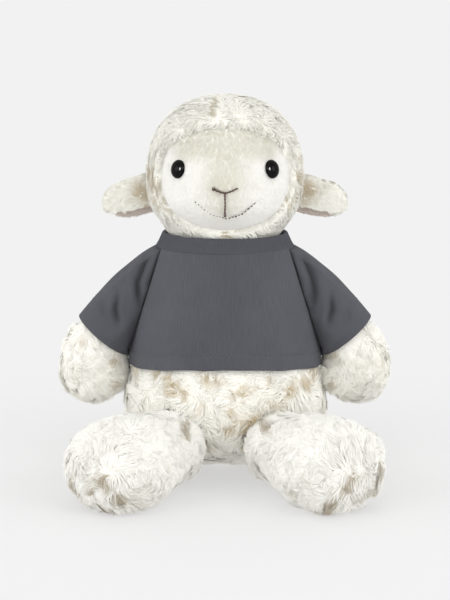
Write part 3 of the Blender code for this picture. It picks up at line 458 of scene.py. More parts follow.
def growPile(roots, normals, layAt, pile, seed, lengthAt=None, stains=(), shadeAt=None):
    # locks of blades: every blade leaves its own root and is drawn towards the path of its lock's middle
    draw = np.random.default_rng(seed + 1000)
    count = len(roots)
    lay = layAt(roots)
    lay = lay - normals * dot(lay, normals)
    # where the lay is weak the blades cross each other every way
    strength = np.clip(np.linalg.norm(lay, axis=-1) / pile["weak"], 0, 1)
    lay = unit(lay)
    heads = draw.choice(count, max(int(count / pile["perLock"]), 1), replace=False)
    lock, gap = nearest(roots, roots[heads])
    lockCount = len(heads)
    spread = math.radians(pile["spread"])
    lockAngle = draw.normal(size=lockCount) * spread + waves(roots[heads], pile["swirl"], seed) * spread
    lockCurl = np.radians(draw.normal(size=lockCount) * pile["curl"])
    lockLength = pile["length"] * draw.uniform(*pile["lockLengths"], lockCount)
    lockTone = draw.normal(size=lockCount) * pile["lockTone"]
    scale = lengthAt(roots) if lengthAt else np.ones(count)
    strayed = draw.normal(size=count) * (pile["stray"] + pile["cross"] * (1 - strength))
    angle = lockAngle[lock] + np.radians(strayed)
    curl = lockCurl[lock] + np.radians(draw.normal(size=count) * pile["bladeCurl"])
    length = lockLength[lock] * draw.uniform(*pile["bladeLengths"], count) * scale
    own = strandPaths(roots, normals, lay, angle, curl, length, pile)
    headLength = lockLength * scale[heads]
    shared = strandPaths(roots[heads], normals[heads], lay[heads], lockAngle, lockCurl, headLength, pile)
    share = np.linspace(0, 1, pile["steps"] + 1)[None, :, None]
    pull = pile["pull"] * share ** 1.2 * (draw.uniform(size=(count, 1, 1)) > pile["loose"])
    paths = own + (shared[lock] - own) * pull
    floor = onGround["blade"] + onGround["spread"] * draw.uniform(size=(count, 1))
    paths[:, 1:, 2] = np.maximum(paths[:, 1:, 2], floor)
    tone = pile["tone"] + lockTone[lock] + draw.normal(size=count) * pile["bladeTone"]
    tone += waves(roots, pile["patchSize"], seed + 7) * pile["patchTone"]
    # painted shade: blades far from their lock's middle, in the valleys between locks, are darker
    tone -= np.clip(gap / np.median(gap) - 1, 0, 1.5) * pile["paintedValleyShade"]
    tone = np.maximum(tone, pile["least"])
    seen = (paths[:, 1] + paths[:, -1]) / 2      # the outer half of a blade is what shows
    for centre, radius, amount in stains:
        tone -= near(seen, centre, radius, stainDepth) * amount * ease(-normals[:, 1], -0.3, 0.1)
    if shadeAt:
        tone -= shadeAt(seen)
    return {"paths": paths, "normals": normals, "tone": np.clip(tone, 0.02, 0.97), "draw": draw}


def strandPart(grown, pile):
    # a flat-sided spike of three faces round each path, open only at its root, with its ridge outwards
    paths, normals, tone, draw = (grown[key] for key in ("paths", "normals", "tone", "draw"))
    count, rows = paths.shape[:2]
    steps = rows - 1
    along = unit(np.gradient(paths, axis=1))
    outward = np.broadcast_to(normals[:, None], paths.shape)
    across = unit(np.cross(along, outward))
    face = np.cross(across, along)
    twist = np.radians(draw.normal(size=(count, 1, 1)) * pile["twist"])
    across, face = across * np.cos(twist) + face * np.sin(twist), face * np.cos(twist) - across * np.sin(twist)
    half = pile["width"] / 2 * draw.uniform(*pile["widths"], (count, 1, 1))
    profile = (1 - np.linspace(0, 1, rows) ** pile["taper"])[None, :, None] * half
    rings = []
    for turn in np.radians((90, 210, 330)):
        side, rise = across * math.cos(turn), face * math.sin(turn)
        rings.append(paths + side * profile * pile["flat"] + rise * profile * pile["ridge"])
    points = np.stack(rings, 2)
    points[..., 2] = np.maximum(points[..., 2], onGround["edge"])
    points = np.concatenate([points[:, :-1].reshape(count, -1, 3), paths[:, -1:]], 1).reshape(-1, 3)
    first = (np.arange(count) * (3 * steps + 1))[:, None, None]
    ring, corner = cells(steps - 1, 3)
    ring = ring * 3
    after = (corner + 1) % 3
    quads = np.stack([ring + after, ring + corner, ring + 3 + corner, ring + 3 + after], 1)
    quads = (first + quads[None]).reshape(-1, 4)
    corner = np.arange(3)
    last = 3 * (steps - 1)
    tips = np.stack([last + (corner + 1) % 3, last + corner, np.full(3, 3 * steps)], 1)
    tips = (first + tips[None]).reshape(-1, 3)
    v = pileMap["low"] + pileMap["tall"] * np.arange(rows) / steps
    low, high = np.repeat(v[:steps - 1], 3), np.repeat(v[1:steps], 3)
    tone, wide = tone[:, None, None], pileMap["half"]
    quadU = np.broadcast_to(tone + np.array([wide, -wide, -wide, wide]), (count, len(low), 4))
    quadV = np.broadcast_to(np.stack([low, low, high, high], 1), (count, len(low), 4))
    tipU = np.broadcast_to(tone + np.array([wide, -wide, 0.0]), (count, 3, 3))
    tipV = np.broadcast_to([v[steps - 1], v[steps - 1], v[steps]], (count, 3, 3))
    maps = [np.stack([quadU, quadV], -1).reshape(-1, 4, 2), np.stack([tipU, tipV], -1).reshape(-1, 3, 2)]
    return {"points": points, "faces": [quads, tips], "maps": maps, "smooth": False}


def coveredPart(
        grid, pile, layAt, density, seed, lengthAt=None, stains=(), wrapped=True, sign=0, shadeAt=None):
    # roots by area times density, then a blade on each
    roots, normals = scatter(grid, pile["count"], density, seed, wrapped, sign)
    return strandPart(growPile(roots, normals, layAt, pile, seed, lengthAt, stains, shadeAt), pile)


# Colours, as the light shows them

creamTip, tanRoot = (0.94, 0.925, 0.86), (0.93, 0.91, 0.84)
tanPatch, deepTan = (0.52, 0.415, 0.25), (0.94, 0.915, 0.84)
greyRoot, greyPatch, greyDeep = (0.91, 0.895, 0.84), (0.44, 0.38, 0.285), (0.93, 0.91, 0.85)
bodyPileFinish = pileFinish("cream_long_pile", creamTip, tanRoot, tanPatch, deepTan)
legPileFinish = pileFinish("cream_long_pile_legs", (0.90, 0.89, 0.84), greyRoot, greyPatch, greyDeep)
headPileFinish = pileFinish(
    "cream_head_pile", (0.815, 0.805, 0.74), (0.85, 0.835, 0.76), (0.48, 0.41, 0.29), (0.88, 0.865, 0.79))
facePileFinish = pileFinish(
    "white_face_nap", (0.94, 0.93, 0.89), (0.93, 0.92, 0.87), (0.725, 0.705, 0.60), (0.88, 0.87, 0.82))
liningFinish = pileFinish(
    "taupe_ear_lining", (0.78, 0.68, 0.61), (0.72, 0.62, 0.55), (0.62, 0.52, 0.45), (0.66, 0.56, 0.50))

# Lengths in mm, angles in degrees. lift and lean are a blade's lean from upright at its root and its tip;
# tones run from 0, the patch colour, to 1, the tip colour.
bodyPile = {
    "count": 19500, "steps": 2, "length": 11.0, "width": 0.95, "perLock": 34, "lift": 75, "lean": 91,
    "lockLengths": (0.75, 1.2), "bladeLengths": (0.8, 1.1), "widths": (0.7, 1.3), "taper": 2.2, "flat": 1.15,
    "spread": 38, "swirl": 30, "curl": 40, "bladeCurl": 12, "stray": 13, "cross": 50, "weak": 0.8,
    "pull": 0.45, "loose": 0.16, "twist": 6, "ridge": 0.24, "tone": 0.80, "lockTone": 0.08, "bladeTone": 0.06,
    "patchSize": 30, "patchTone": 0.06, "paintedValleyShade": 0.05, "least": 0.6,
}
legPile = {
    **bodyPile, "count": 20000, "length": 9.5, "width": 0.9, "tone": 0.82, "lift": 77, "spread": 30, "curl": 36,
}
armPile = {**legPile, "count": 17000, "tone": 0.88, "pull": 0.35}
headPile = {
    **bodyPile, "count": 19000, "length": 6.2, "width": 0.74, "perLock": 22, "lift": 73, "lean": 88,
    "spread": 30, "swirl": 26, "curl": 28, "stray": 14, "pull": 0.4, "patchTone": 0.05,
}
facePile = {
    **headPile, "count": 17000, "length": 2.6, "width": 0.36, "perLock": 18, "lift": 76, "lean": 90,
    "spread": 10, "swirl": 30, "curl": 8, "stray": 10, "pull": 0.35, "tone": 0.76, "lockTone": 0.02,
    "bladeTone": 0.03, "patchTone": 0.03, "paintedValleyShade": 0.03, "least": 0.3, "ridge": 0.1,
}
earPile = {
    **headPile, "count": 6400, "length": 2.9, "width": 0.42, "perLock": 30, "lift": 78, "lean": 96,
    "spread": 16, "swirl": 16, "tone": 0.63, "bladeTone": 0.05, "least": 0.3,
}
liningPile = {**facePile, "count": 1500, "length": 1.4, "lift": 70}
tailPile = {**bodyPile, "count": 3600, "length": 8.0, "lift": 56, "lean": 86}


# Forms: the oval sections of each stuffed piece, as its pattern gives them

def formRows(sections, startPole, endPole, along):
    # a smooth spline through the sections' centres and half axes, which shrink to nothing at both poles
    rows = [np.concatenate([c, a * wide, u * tall]) for c, a, u, wide, tall in sections]
    flip = np.repeat([1.0, -1.0, -1.0], 3)
    poles = [np.concatenate([pole, np.zeros(6)]) for pole in (startPole, endPole)]
    return splineRows(np.array([rows[0] * flip, poles[0], *rows, poles[1], rows[-1] * flip]), along)


def fullTurn(count):
    # angles all the way round, the last one short of the first
    return np.linspace(0, 2 * math.pi, count, endpoint=False)


def ovalForm(sections, startPole, endPole, around, along):
    # centre + across * cos(turn) + upward * sin(turn), all three on the spline
    line = formRows(sections, startPole, endPole, along)
    turn = fullTurn(around)[None, :, None]
    return line[:, None, 0:3] + line[:, None, 3:6] * np.cos(turn) + line[:, None, 6:9] * np.sin(turn)


# Each section has its share of the piece's length, then of its width and depth, and its place off the middle.
body = {"height": 130.0, "width": 117.0, "depth": 96.0, "neck": 24.0, "seat": -0.5, "neckGap": 0.3,
        "grid": (120, 90), "swell": 1.6, "fill": 0.8}
bodySections = (
    (0.000, 0.36, 0.34, 0.230), (0.040, 0.64, 0.56, 0.180), (0.140, 0.90, 0.84, 0.070), (0.280, 1.00, 1.00, 0.010),
    (0.430, 0.94, 1.00, 0.000), (0.600, 0.80, 0.92, 0.000), (0.780, 0.56, 0.78, 0.000), (0.920, 0.50, 0.62, 0.000),
)
head = {"base": 130.0, "height": 88.0, "width": 85.0, "depth": 86.0, "push": 7.0, "pushAt": 0.36,
        "pushReach": 0.18, "grid": (130, 100), "swell": 2.2, "underFace": 3.8, "parting": -4.0, "fill": 0.85}
headSections = (
    (0.040, 0.58, 0.55, 0.000), (0.120, 0.68, 0.66, -0.030), (0.210, 0.82, 0.80, -0.010), (0.310, 0.95, 0.95, 0.035),
    (0.440, 1.00, 1.00, 0.030), (0.580, 1.00, 1.00, 0.010), (0.740, 0.92, 0.93, 0.000), (0.880, 0.72, 0.74, -0.010),
    (0.970, 0.40, 0.42, -0.015),
)
arm = {"root": (36.644, 0.0, 116.0), "rootRadius": 13.0, "reach": 42.1, "drop": 75.0, "width": 34.0,
       "grid": (84, 64), "swell": 1.8, "innerSwell": 2.2, "fill": 0.75}
armSections = (
    (0.42, 0.145, 0.74), (0.78, 0.41, 0.83), (0.95, 0.64, 0.97), (0.99, 0.81, 0.98), (1.00, 0.93, 0.66),
)
leg = {"root": (31.005, -42.48, 22.8), "rootRadius": 21.0, "length": 71.0, "splay": 33.0, "width": 60.0,
       "height": 48.0, "grid": (104, 80), "swell": 2.2, "fill": 0.8}
legSections = ((0.20, 0.74, 0.82), (0.48, 0.95, 0.96), (0.76, 1.00, 1.00), (0.94, 0.64, 0.64))
tail = {"root": (0.0, 42.24, 46.0), "length": 30.0, "width": 18.0, "slope": 38.0, "grid": (52, 36), "fill": 0.7}
tailSections = ((0.06, 0.60), (0.35, 0.86), (0.62, 1.00), (0.86, 0.74))
rootTurns = (-62, -32, 0)      # the rounded root's rings, in degrees up its ball


def bodySectionList():
    # from the neck down, each oval scaled from the body's width and depth; then the two poles
    rows = [
        (np.array([0, back * body["depth"], share * body["height"]]), xAxis, yAxis,
         wide * body["width"] / 2, deep * body["depth"] / 2)
        for share, wide, deep, back in bodySections
    ]
    neck = np.array([0, 0, body["height"] - body["neckGap"]])
    rows.append((neck, xAxis, yAxis, body["neck"], body["neck"]))
    return rows[::-1], neck, np.array([0, bodySections[0][3] * body["depth"], body["seat"]])


def headSectionList():
    # from the neck up, each oval scaled from the head's width and depth; then the two poles
    neck = np.array([0, 0, head["base"] + body["neckGap"]])
    rows = [(neck, xAxis, yAxis, body["neck"], body["neck"])]
    for share, wide, deep, forward in headSections:
        centre = np.array([0, -forward * head["depth"], head["base"] + share * head["height"]])
        rows.append((centre, xAxis, yAxis, wide * head["width"] / 2, deep * head["depth"] / 2))
    crown = np.array([0, -headSections[-1][3] * head["depth"], head["base"] + head["height"]])
    return rows, neck, crown


def limbSections(root, radius, points, wides, talls, level):
    # the inner half of a ball at the root, then ovals square to the line through the points
    toward = unit(points[0] - root)
    across = unit(np.cross(toward, level))
    rows = []
    for turn in np.radians(rootTurns):
        wide = radius * math.cos(turn)
        rows.append((root + toward * radius * math.sin(turn), across, level, wide, wide))
    before = [root, *points[:-1]]
    after = [*points[1:], points[-1]]
    for point, back, on, wide, tall in zip(points, before, after, wides, talls):
        rows.append((point, unit(np.cross(on - back, level)), level, wide, tall))
    return rows


def armParts(sign):
    # the arm's sections, its two poles, and balls along its middle that stand for it
    root = np.array(arm["root"]) * [sign, 1, 1]
    shares = np.array(armSections)
    out, down = sign * shares[:, 0] * arm["reach"], shares[:, 1] * arm["drop"]
    points = root + np.stack([out, 0 * out, -down], 1)
    halves = shares[:, 2] * arm["width"] / 2
    tip = root + np.array([sign * arm["reach"], 0, -arm["drop"]])
    rows = limbSections(root, arm["rootRadius"], list(points), halves, halves, yAxis)
    balls = [(root, arm["rootRadius"])] + list(zip(points, halves))
    return rows, rows[0][0], tip, balls


def legParts(sign):
    # the leg's sections, its two poles, balls along its middle, and the way it points
    root = np.array(leg["root"]) * [sign, 1, 1]
    splay = math.radians(leg["splay"])
    along = np.array([sign * math.sin(splay), -math.cos(splay), 0])
    shares = np.array(legSections)
    points = root + along * shares[:, :1] * leg["length"]
    wides, talls = shares[:, 1] * leg["width"] / 2, shares[:, 2] * leg["height"] / 2
    rows = limbSections(root, leg["rootRadius"], list(points), wides, talls, zAxis)
    toe = root + along * leg["length"]
    balls = [(root, leg["rootRadius"])] + list(zip(points, np.minimum(wides, talls)))
    return rows, rows[0][0], toe, balls, along


def denseBalls(balls, extra):
    # more balls between the given ones, so that together they fill the limb
    out = []
    for (a, r), (b, s) in zip(balls, balls[1:]):
        out += [(a + (b - a) * t, r + (s - r) * t + extra) for t in (0, 0.25, 0.5, 0.75)]
    return out + [(balls[-1][0], balls[-1][1] + extra)]


def pressIn(points, normals, balls):
    # a point inside a ball goes in along its normal until it lies on the ball's far side
    for centre, radius in balls:
        away = points - centre
        out = dot(away, normals)
        inside = np.linalg.norm(away, axis=-1, keepdims=True) < radius
        depth = out + np.sqrt(np.maximum(out ** 2 + radius ** 2 - dot(away, away), 0))
        points = np.where(inside, points - normals * depth, points)
    return points


def outsideOf(balls, margin):
    # a density that is 0 where a root would lie inside one of the balls
    def density(points):
        # 1 for each point that is outside every ball
        clear = np.ones(points.shape[:-1])
        for centre, radius in balls:
            clear *= np.linalg.norm(points - centre, axis=-1) > radius - margin
        return clear
    return density


def onFloor(grid):
    # nothing reaches below the floor
    grid = grid.copy()
    grid[..., 2] = np.maximum(grid[..., 2], onGround["backing"])
    return grid


# Head

headLine = formRows(*headSectionList(), 600)


def muzzle(x, z):
    # a bell curve about the muzzle's middle
    reach = head["pushReach"] * head["height"]
    rise = z - head["base"] - head["pushAt"] * head["height"]
    return head["push"] * np.exp(-((x / reach) ** 2 + (rise / reach) ** 2) / 2)


def faceDepth(x, z):
    # the front of the head's oval at height z, with the muzzle pushed forward
    centre, wide, deep = (np.interp(z, headLine[:, 2], headLine[:, k]) for k in (1, 3, 7))
    return centre - deep * np.sqrt(np.maximum(1 - (x / wide) ** 2, 0)) - muzzle(x, z)


def facePoint(x, z):
    # the point of the face that is seen at x and z from the front
    return np.stack([x, faceDepth(x, z), z], -1)


def faceNormal(x, z):
    # the cross product of a short step to each side and one up and down
    step = face["step"]
    right = facePoint(x + step, z) - facePoint(x - step, z)
    up = facePoint(x, z + step) - facePoint(x, z - step)
    return unit(np.cross(right, up))


face = {"width": 73.0, "height": 58.0, "centre": 174.44, "square": 2.3, "wall": 1.3, "step": 0.6,
        "around": 144, "rings": 50, "edgeDip": 0.7, "unevenness": 0.12, "fill": 0.8}


def inFace(points):
    # how far out a point lies from the face oval's middle, 1 on its edge; the back of the head is far outside
    x = np.abs(points[..., 0]) / (face["width"] / 2)
    z = np.abs(points[..., 2] - face["centre"]) / (face["height"] / 2)
    reach = (x ** face["square"] + z ** face["square"]) ** (1 / face["square"])
    return np.where(points[..., 1] < 0, reach, 9.0)


# stains: the place of each, its radius and how much tone it takes
headStains = (
    ((-4.5, -13, 219.5), 1.8, 0.5), ((-6.5, -18, 217), 1.8, 0.55), ((-8, -22, 214.5), 2.0, 0.6),
    ((-7, -26, 211), 1.8, 0.55), ((-4, -30, 208), 1.8, 0.5), ((-1, -33, 205.5), 1.8, 0.45),
    ((9, -33, 207), 3, 0.25), ((2.5, -40, 143), 3.2, 1.0), ((20, -31, 205), 3, 0.2), ((36, -27, 200), 4, 0.3),
    ((-36, -24, 158), 6, 0.4), ((-40, -18, 168), 5, 0.42), ((-39, -17, 176), 4, 0.3), ((-20, -31, 204), 3, 0.2),
    ((44, -6, 183), 4, 0.35), ((42, -12, 173), 5, 0.5), ((36, -26, 160), 5, 0.4), ((-44, -5, 175), 5, 0.45),
    ((-44, -4, 162), 5, 0.3), ((44, -4, 162), 5, 0.3),
)


def makeHead():
    # the head's oval with its muzzle, grown out to the pile's backing and sunk under the face panel
    grid = ovalForm(*headSectionList(), *head["grid"])
    front = grid[..., 1] < 0
    grid[..., 1] -= np.where(front, muzzle(grid[..., 0], grid[..., 2]), 0)
    normals = gridNormals(grid, True)
    reach = inFace(grid)
    grid += normals * (head["swell"] - head["underFace"] * (1 - ease(reach, 0.98, 1.04)))[..., None]
    crown = np.array([0, 1.0, 218.0])
    faceMiddle = np.array([0, -50.0, face["centre"]])

    def layAt(points):
        # back over the head and down, but over the face's edge all round, and parted in front
        away = unit(points - crown)
        parting = points[..., 0] - head["parting"]
        front = ease(-points[..., 1], 0, 16) * ease(points[..., 2], 196, 206)
        rim = 1 - ease(inFace(points), 1.0, 1.13)
        fringe = (1 - ease(inFace(points), 1.06, 1.26)) * ease(points[..., 2], 190, 198)
        lay = yAxis * 0.8 + away * [1, 0.3, 0.6] + 0.5 * drift(points, 34, 23)
        lay[..., 2] -= 0.4
        lay += unit(faceMiddle - points) * (3.0 * rim + 2.4 * fringe)[..., None]
        lay[..., 0] += 2.0 * np.sign(parting) * hump(parting, 0, 8) * front
        return lay

    def density(points):
        # none under the face and inside the collar, fewer behind
        back = 0.45 + 0.55 * ease(-points[..., 1], -26, 4)
        return (inFace(points) > 1.0) * (points[..., 2] > 134.0) * back

    def lengthAt(points):
        # shorter round the face, least so above it, and longer over the collar
        rim = 1 - ease(inFace(points), 1.0, 1.16)
        over = ease(points[..., 2], 190, 200)
        return (1 - rim * (0.5 - 0.35 * over)) * (1.2 - 0.2 * ease(points[..., 2], 140, 152))

    def shadeAt(points):
        # a thin shade along the face's seam below the eyes
        return 0.22 * hump(inFace(points), 1.015, 0.02) * (1 - ease(points[..., 2], 160, 176))

    pile = coveredPart(grid, headPile, layAt, density, 21, lengthAt, headStains, shadeAt=shadeAt)
    backing = closedPart(grid, *backingMap)
    makePlush("head_plush", backing, pile, headPileFinish, "head", ("head_wool", "head_stuffing"))


def makeFace():
    # rings of the face's squared oval laid on the head's front, with the same rings behind as its wall
    turn = fullTurn(face["around"])[None, :]
    radius = np.concatenate([np.linspace(0, 0.97, face["rings"]), [0.99, 1.0]])[:, None]
    power = 2 / face["square"]
    c, s = np.cos(turn), np.sin(turn)
    x = radius * face["width"] / 2 * np.sign(c) * np.abs(c) ** power
    z = face["centre"] + radius * face["height"] / 2 * np.sign(s) * np.abs(s) ** power
    front = facePoint(x, z)
    normals = faceNormal(x, z)
    relief = face["unevenness"] * waves(front, 22, 5) - face["edgeDip"] * ease(radius, 0.93, 1.0)
    front += normals * relief[..., None]
    grid = np.concatenate([front, (front - normals * face["wall"])[::-1]])

    def layAt(points):
        # down over the face, and a little outwards
        return points * [0.018, 0, 0] - zAxis

    def density(points):
        # the same all over
        return 1.0 + 0 * points[..., 0]

    def lengthAt(points):
        # shorter along the edge
        return 1 - 0.25 * ease(inFace(points), 0.9, 1.0)

    def shadeAt(points):
        # painted shade: the forehead, the nose's ridge and the nap round the mouth are darker and yellower
        x, z = points[..., 0], points[..., 2]
        brow = ease(z, 178, 190) * (1 - ease(np.abs(x), 24, 35))
        ridge = hump(x, 0, 14) * ease(z, 160, 172)
        return 0.68 * np.maximum(brow, ridge) + 0.42 * hump(x, 0, 15) * hump(z, 160, 8)

    stains = [((0, -53, 158), 5, 0.1)]
    roots, rootNormals = scatter(front, facePile["count"], density, 31, True, 1)
    rootNormals *= np.sign(dot(rootNormals, faceNormal(roots[:, 0], roots[:, 2])))
    pile = strandPart(growPile(roots, rootNormals, layAt, facePile, 31, lengthAt, stains, shadeAt), facePile)
    backing = closedPart(grid, *backingMap)
    makePlush("face_plush", backing, pile, facePileFinish, "head", ("face_panel",))


eye = {"width": 9.2, "height": 10.6, "rise": 3.6, "spacing": 51.0, "level": 179.98, "out": 0.6, "back": 1.1,
       "around": 64}


def makeEyes():
    # an oval dome: the half axes times cos(climb), the rise times sin(climb), closed behind by a flatter dome
    for side, sign in sides:
        x, z = np.array(sign * eye["spacing"] / 2), np.array(eye["level"])
        seat, normal = facePoint(x, z), faceNormal(x, z)
        up = unit(zAxis - normal * (zAxis @ normal))
        right = np.cross(up, normal)
        turn = fullTurn(eye["around"])[None, :, None]
        climb = np.radians(np.concatenate([np.linspace(90, 0, 28), [-8, -20, -40, -65, -90]]))[:, None, None]
        rise = np.sin(climb)
        rise = np.where(rise > 0, rise * eye["rise"], rise * eye["back"])
        ring = right * np.cos(turn) * eye["width"] / 2 + up * np.sin(turn) * eye["height"] / 2
        grid = seat + normal * (rise + eye["out"]) + ring * np.cos(climb)
        makePiece(f"eye_{side}_dome", [closedPart(grid)], eyeFinish, "head", (f"eye_{side}",))


# Threads

def stitchParts(starts, ends, normals, radius, rows=7, around=8, bow=0.35):
    # each stitch is a spindle from start to end, thickest in its middle, that dips into the cloth at its ends
    t = np.linspace(0, 1, rows)[None, :, None, None]
    turn = fullTurn(around)[None, None, :, None]
    starts, ends, normals = (x[:, None, None] for x in (starts, ends, normals))
    radius = np.broadcast_to(radius, len(starts))[:, None, None, None]
    along = unit(ends - starts)
    side = unit(np.cross(along, normals))
    up = np.cross(side, along)
    middle = starts + (ends - starts) * t + up * (bow * 2 * radius * np.sin(math.pi * t) - radius * 0.2)
    thick = radius * np.sin(math.pi * t) ** 0.45
    grids = middle + (side * np.cos(turn) + up * np.sin(turn)) * thick
    return [closedPart(grid, k / len(grids), (k + 0.9) / len(grids)) for k, grid in enumerate(grids)]


def beadRow(path, normals, thread):
    # one stitch per value, end to end along the path
    lengths = runLengths(path)
    marks = np.linspace(0, lengths[-1], len(thread) + 1)
    line, lift = (placesAlong(marks, lengths, values) for values in (path, normals))
    over = np.diff(line, axis=0) * embroidery["overlap"]
    return stitchParts(line[:-1] - over, line[1:] + over, lift[:-1], np.array(thread), rows=9, around=10)


embroidery = {
    "noseWidth": 13.2, "noseZ": 170.66, "noseDrop": 2.4, "nosePower": 1.4, "lipBottom": 156.1,
    "mouthWidth": 33.0, "mouthZ": 163.42, "mouthSag": 8.6, "lift": 1.35, "mouthLift": 1.15, "mouthSink": 0.75,
    "overlap": 0.14,
}
# how thick the threads are along their way, in mm
noseThread = (1.05, 0.80, 0.66, 0.62, 0.60, 0.58, 0.56, 0.50)
lipThread = (0.60, 0.56, 0.56, 0.54, 0.56, 0.58, 0.80)
mouthThread = (
    0.30, 0.24, 0.22, 0.26, 0.22, 0.22, 0.24, 0.22, 0.26, 0.34, 0.40, 0.30, 0.40, 0.44, 0.30, 0.44, 0.34, 0.44, 0.36,
    0.28,
)


def makeEmbroidery():
    # the nose is a shallow power curve, the lip an upright line and the mouth a parabola, all laid on the face
    e = embroidery
    t = np.linspace(-1, 1, 61)
    noseZ = e["noseZ"] - e["noseDrop"] * (1 - np.abs(t) ** e["nosePower"])
    noseX = t * e["noseWidth"] / 2
    lipZ = np.linspace(e["noseZ"] - e["noseDrop"] - 0.2, e["lipBottom"], 40)
    routes = (("nose_thread", "nose_stitching", noseX, noseZ, noseThread),
              ("lip_thread", "lip_stitching", 0.08 * np.sin(lipZ * 0.9), lipZ, lipThread))
    for name, node, x, z, thread in routes:
        normals = faceNormal(x, z)
        path = facePoint(x, z) + normals * e["lift"]
        makePiece(name, beadRow(path, normals, thread), threadFinish, "head", (node,))
    count = len(mouthThread)
    t = np.linspace(-1, 1, count + 1)
    x = t * e["mouthWidth"] / 2
    z = e["mouthZ"] - e["mouthSag"] * (1 - t * t)
    normals = faceNormal(x, z)
    # the right half lies on the nap, and the left half is sunk in it
    draw = np.random.default_rng(35)
    path = facePoint(x, z) + normals * (e["mouthLift"] - e["mouthSink"] * (1 - ease(t, -0.2, 0.15)))[:, None]
    path[:, 2] += draw.normal(size=count + 1) * 0.25
    gap = 0.06 + 0.3 * (1 - ease(t[:-1], -0.1, 0.2)) + draw.uniform(0, 0.12, count)
    starts = path[:-1] + (path[1:] - path[:-1]) * 0.04
    ends = path[:-1] + (path[1:] - path[:-1]) * (1 - gap)[:, None]
    parts = stitchParts(starts, ends, normals[:-1], np.array(mouthThread))
    makePiece("mouth_thread", parts, threadFinish, "head", ("mouth_stitching",))


# Ears

ear = {"length": 27.0, "height": 22.0, "fold": 10.0, "inset": 5.0, "droop": 15.0, "rootX": 40.0, "rootY": 2.0,
       "rootZ": 163.88, "lift": 4.6, "power": 0.5, "wall": 1.4, "liningInset": 2.0, "liningWall": 0.7,
       "grid": (40, 44), "liningGrid": (30, 36), "fill": 0.3, "liningFill": 0.2}
earSections = (
    (0.0, 1.0, 0.88), (0.28, 1.04, 1.0), (0.52, 1.0, 1.0), (0.70, 0.91, 0.95), (0.84, 0.74, 0.88),
    (0.93, 0.50, 0.78), (0.98, 0.24, 0.6),
)


def earRoot(sign):
    # the middle of the ear's sewn end
    return np.array([sign * ear["rootX"], ear["rootY"], ear["rootZ"]])


def earGrid(sign, inset, across, along):
    # an arch over the fold at each step along the ear: -half width * cos(turn) across, sin(turn)^power up
    droop = math.radians(ear["droop"])
    out = np.array([sign * math.cos(droop), 0, -math.sin(droop)])
    up = np.array([sign * math.sin(droop), 0, math.cos(droop)])
    root = earRoot(sign)
    rows = np.array(earSections)
    t = np.linspace(0, rows[-1, 0], along)
    # a straight run through the shares, rounded by two neighbours' mean
    shares = np.stack([np.interp(t, rows[:, 0], rows[:, k]) for k in (1, 2)], 1)
    shares[1:-1] = (shares[:-2] + 2 * shares[1:-1] + shares[2:]) / 4
    tall = shares[:, :1] * ear["height"] - inset
    half = shares[:, 1:] * ear["fold"] / 2 - inset
    turn = np.linspace(0, math.pi, across)[None, :]
    rise = np.sin(turn) ** ear["power"]
    rise[:, 0] = rise[:, -1] = 0
    front = turn < math.pi / 2
    z = np.maximum(tall, 0.6) * (rise - 0.5) + np.where(front, ear["lift"] * shares[:, :1] * (1 - rise), 0)
    y = -np.maximum(half, 0.3) * np.cos(turn)
    centre = root + out * (t * (ear["length"] + ear["inset"] - inset))[:, None]
    return centre[:, None] + yAxis * y[..., None] + up * (z - inset / 2)[..., None], out, up


def makeEar(side, sign):
    # the folded outside, and the lining as the same arch set in by its inset
    grid, out, up = earGrid(sign, 0.0, *ear["grid"])
    root = earRoot(sign)

    def layAt(points):
        # out along the ear, and down over its lower half
        below = -(points - root) @ up
        return out + 0 * points - up * (0.35 * ease(below, -8, 2))[..., None]

    def density(points):
        # none on the end that is sewn into the head
        return ((points - root) @ out > -2.0) * 1.0

    def lengthAt(points):
        # longer at the root, where it closes the gap to the head, and short on the front flap's lower edge
        below = -(points - root) @ up
        atRoot = 1 - ease((points - root) @ out, 0, 8)
        return (1 - 0.45 * ease(below, 2, 9)) * (1 + 0.8 * atRoot)

    def liningLay(points):
        # out along the ear and down
        return out - up * 0.6 + 0 * points

    stains = [
        ((sign * 48.8, -4, 165.4), 4.5, 0.6), ((sign * 46, -4, 160), 6, 0.35), ((sign * 55, -4, 162), 5, 0.15)]
    middle = root + out * ear["length"] / 2
    outwards = np.sign((gridNormals(grid, False, 1) * (grid - middle)).sum())
    pile = coveredPart(grid, earPile, layAt, density, 41 + sign, lengthAt, stains, False, outwards)
    backing = shellPart(grid, ear["wall"], False, outwards)
    name = f"ear_{side}"
    makePlush(f"{name}_plush", backing, pile, headPileFinish, name, (f"{name}_outer",))
    lining, _, _ = earGrid(sign, ear["liningInset"], *ear["liningGrid"])
    inside = lining - gridNormals(lining, False, outwards) * ear["liningWall"]
    pile = coveredPart(inside, liningPile, liningLay, density, 51 + sign, None, (), False, -outwards)
    backing = shellPart(lining, ear["liningWall"], False, outwards)
    makePlush(f"ear_{side}_lining_plush", backing, pile, liningFinish, f"ear_{side}", (f"ear_{side}_lining",))
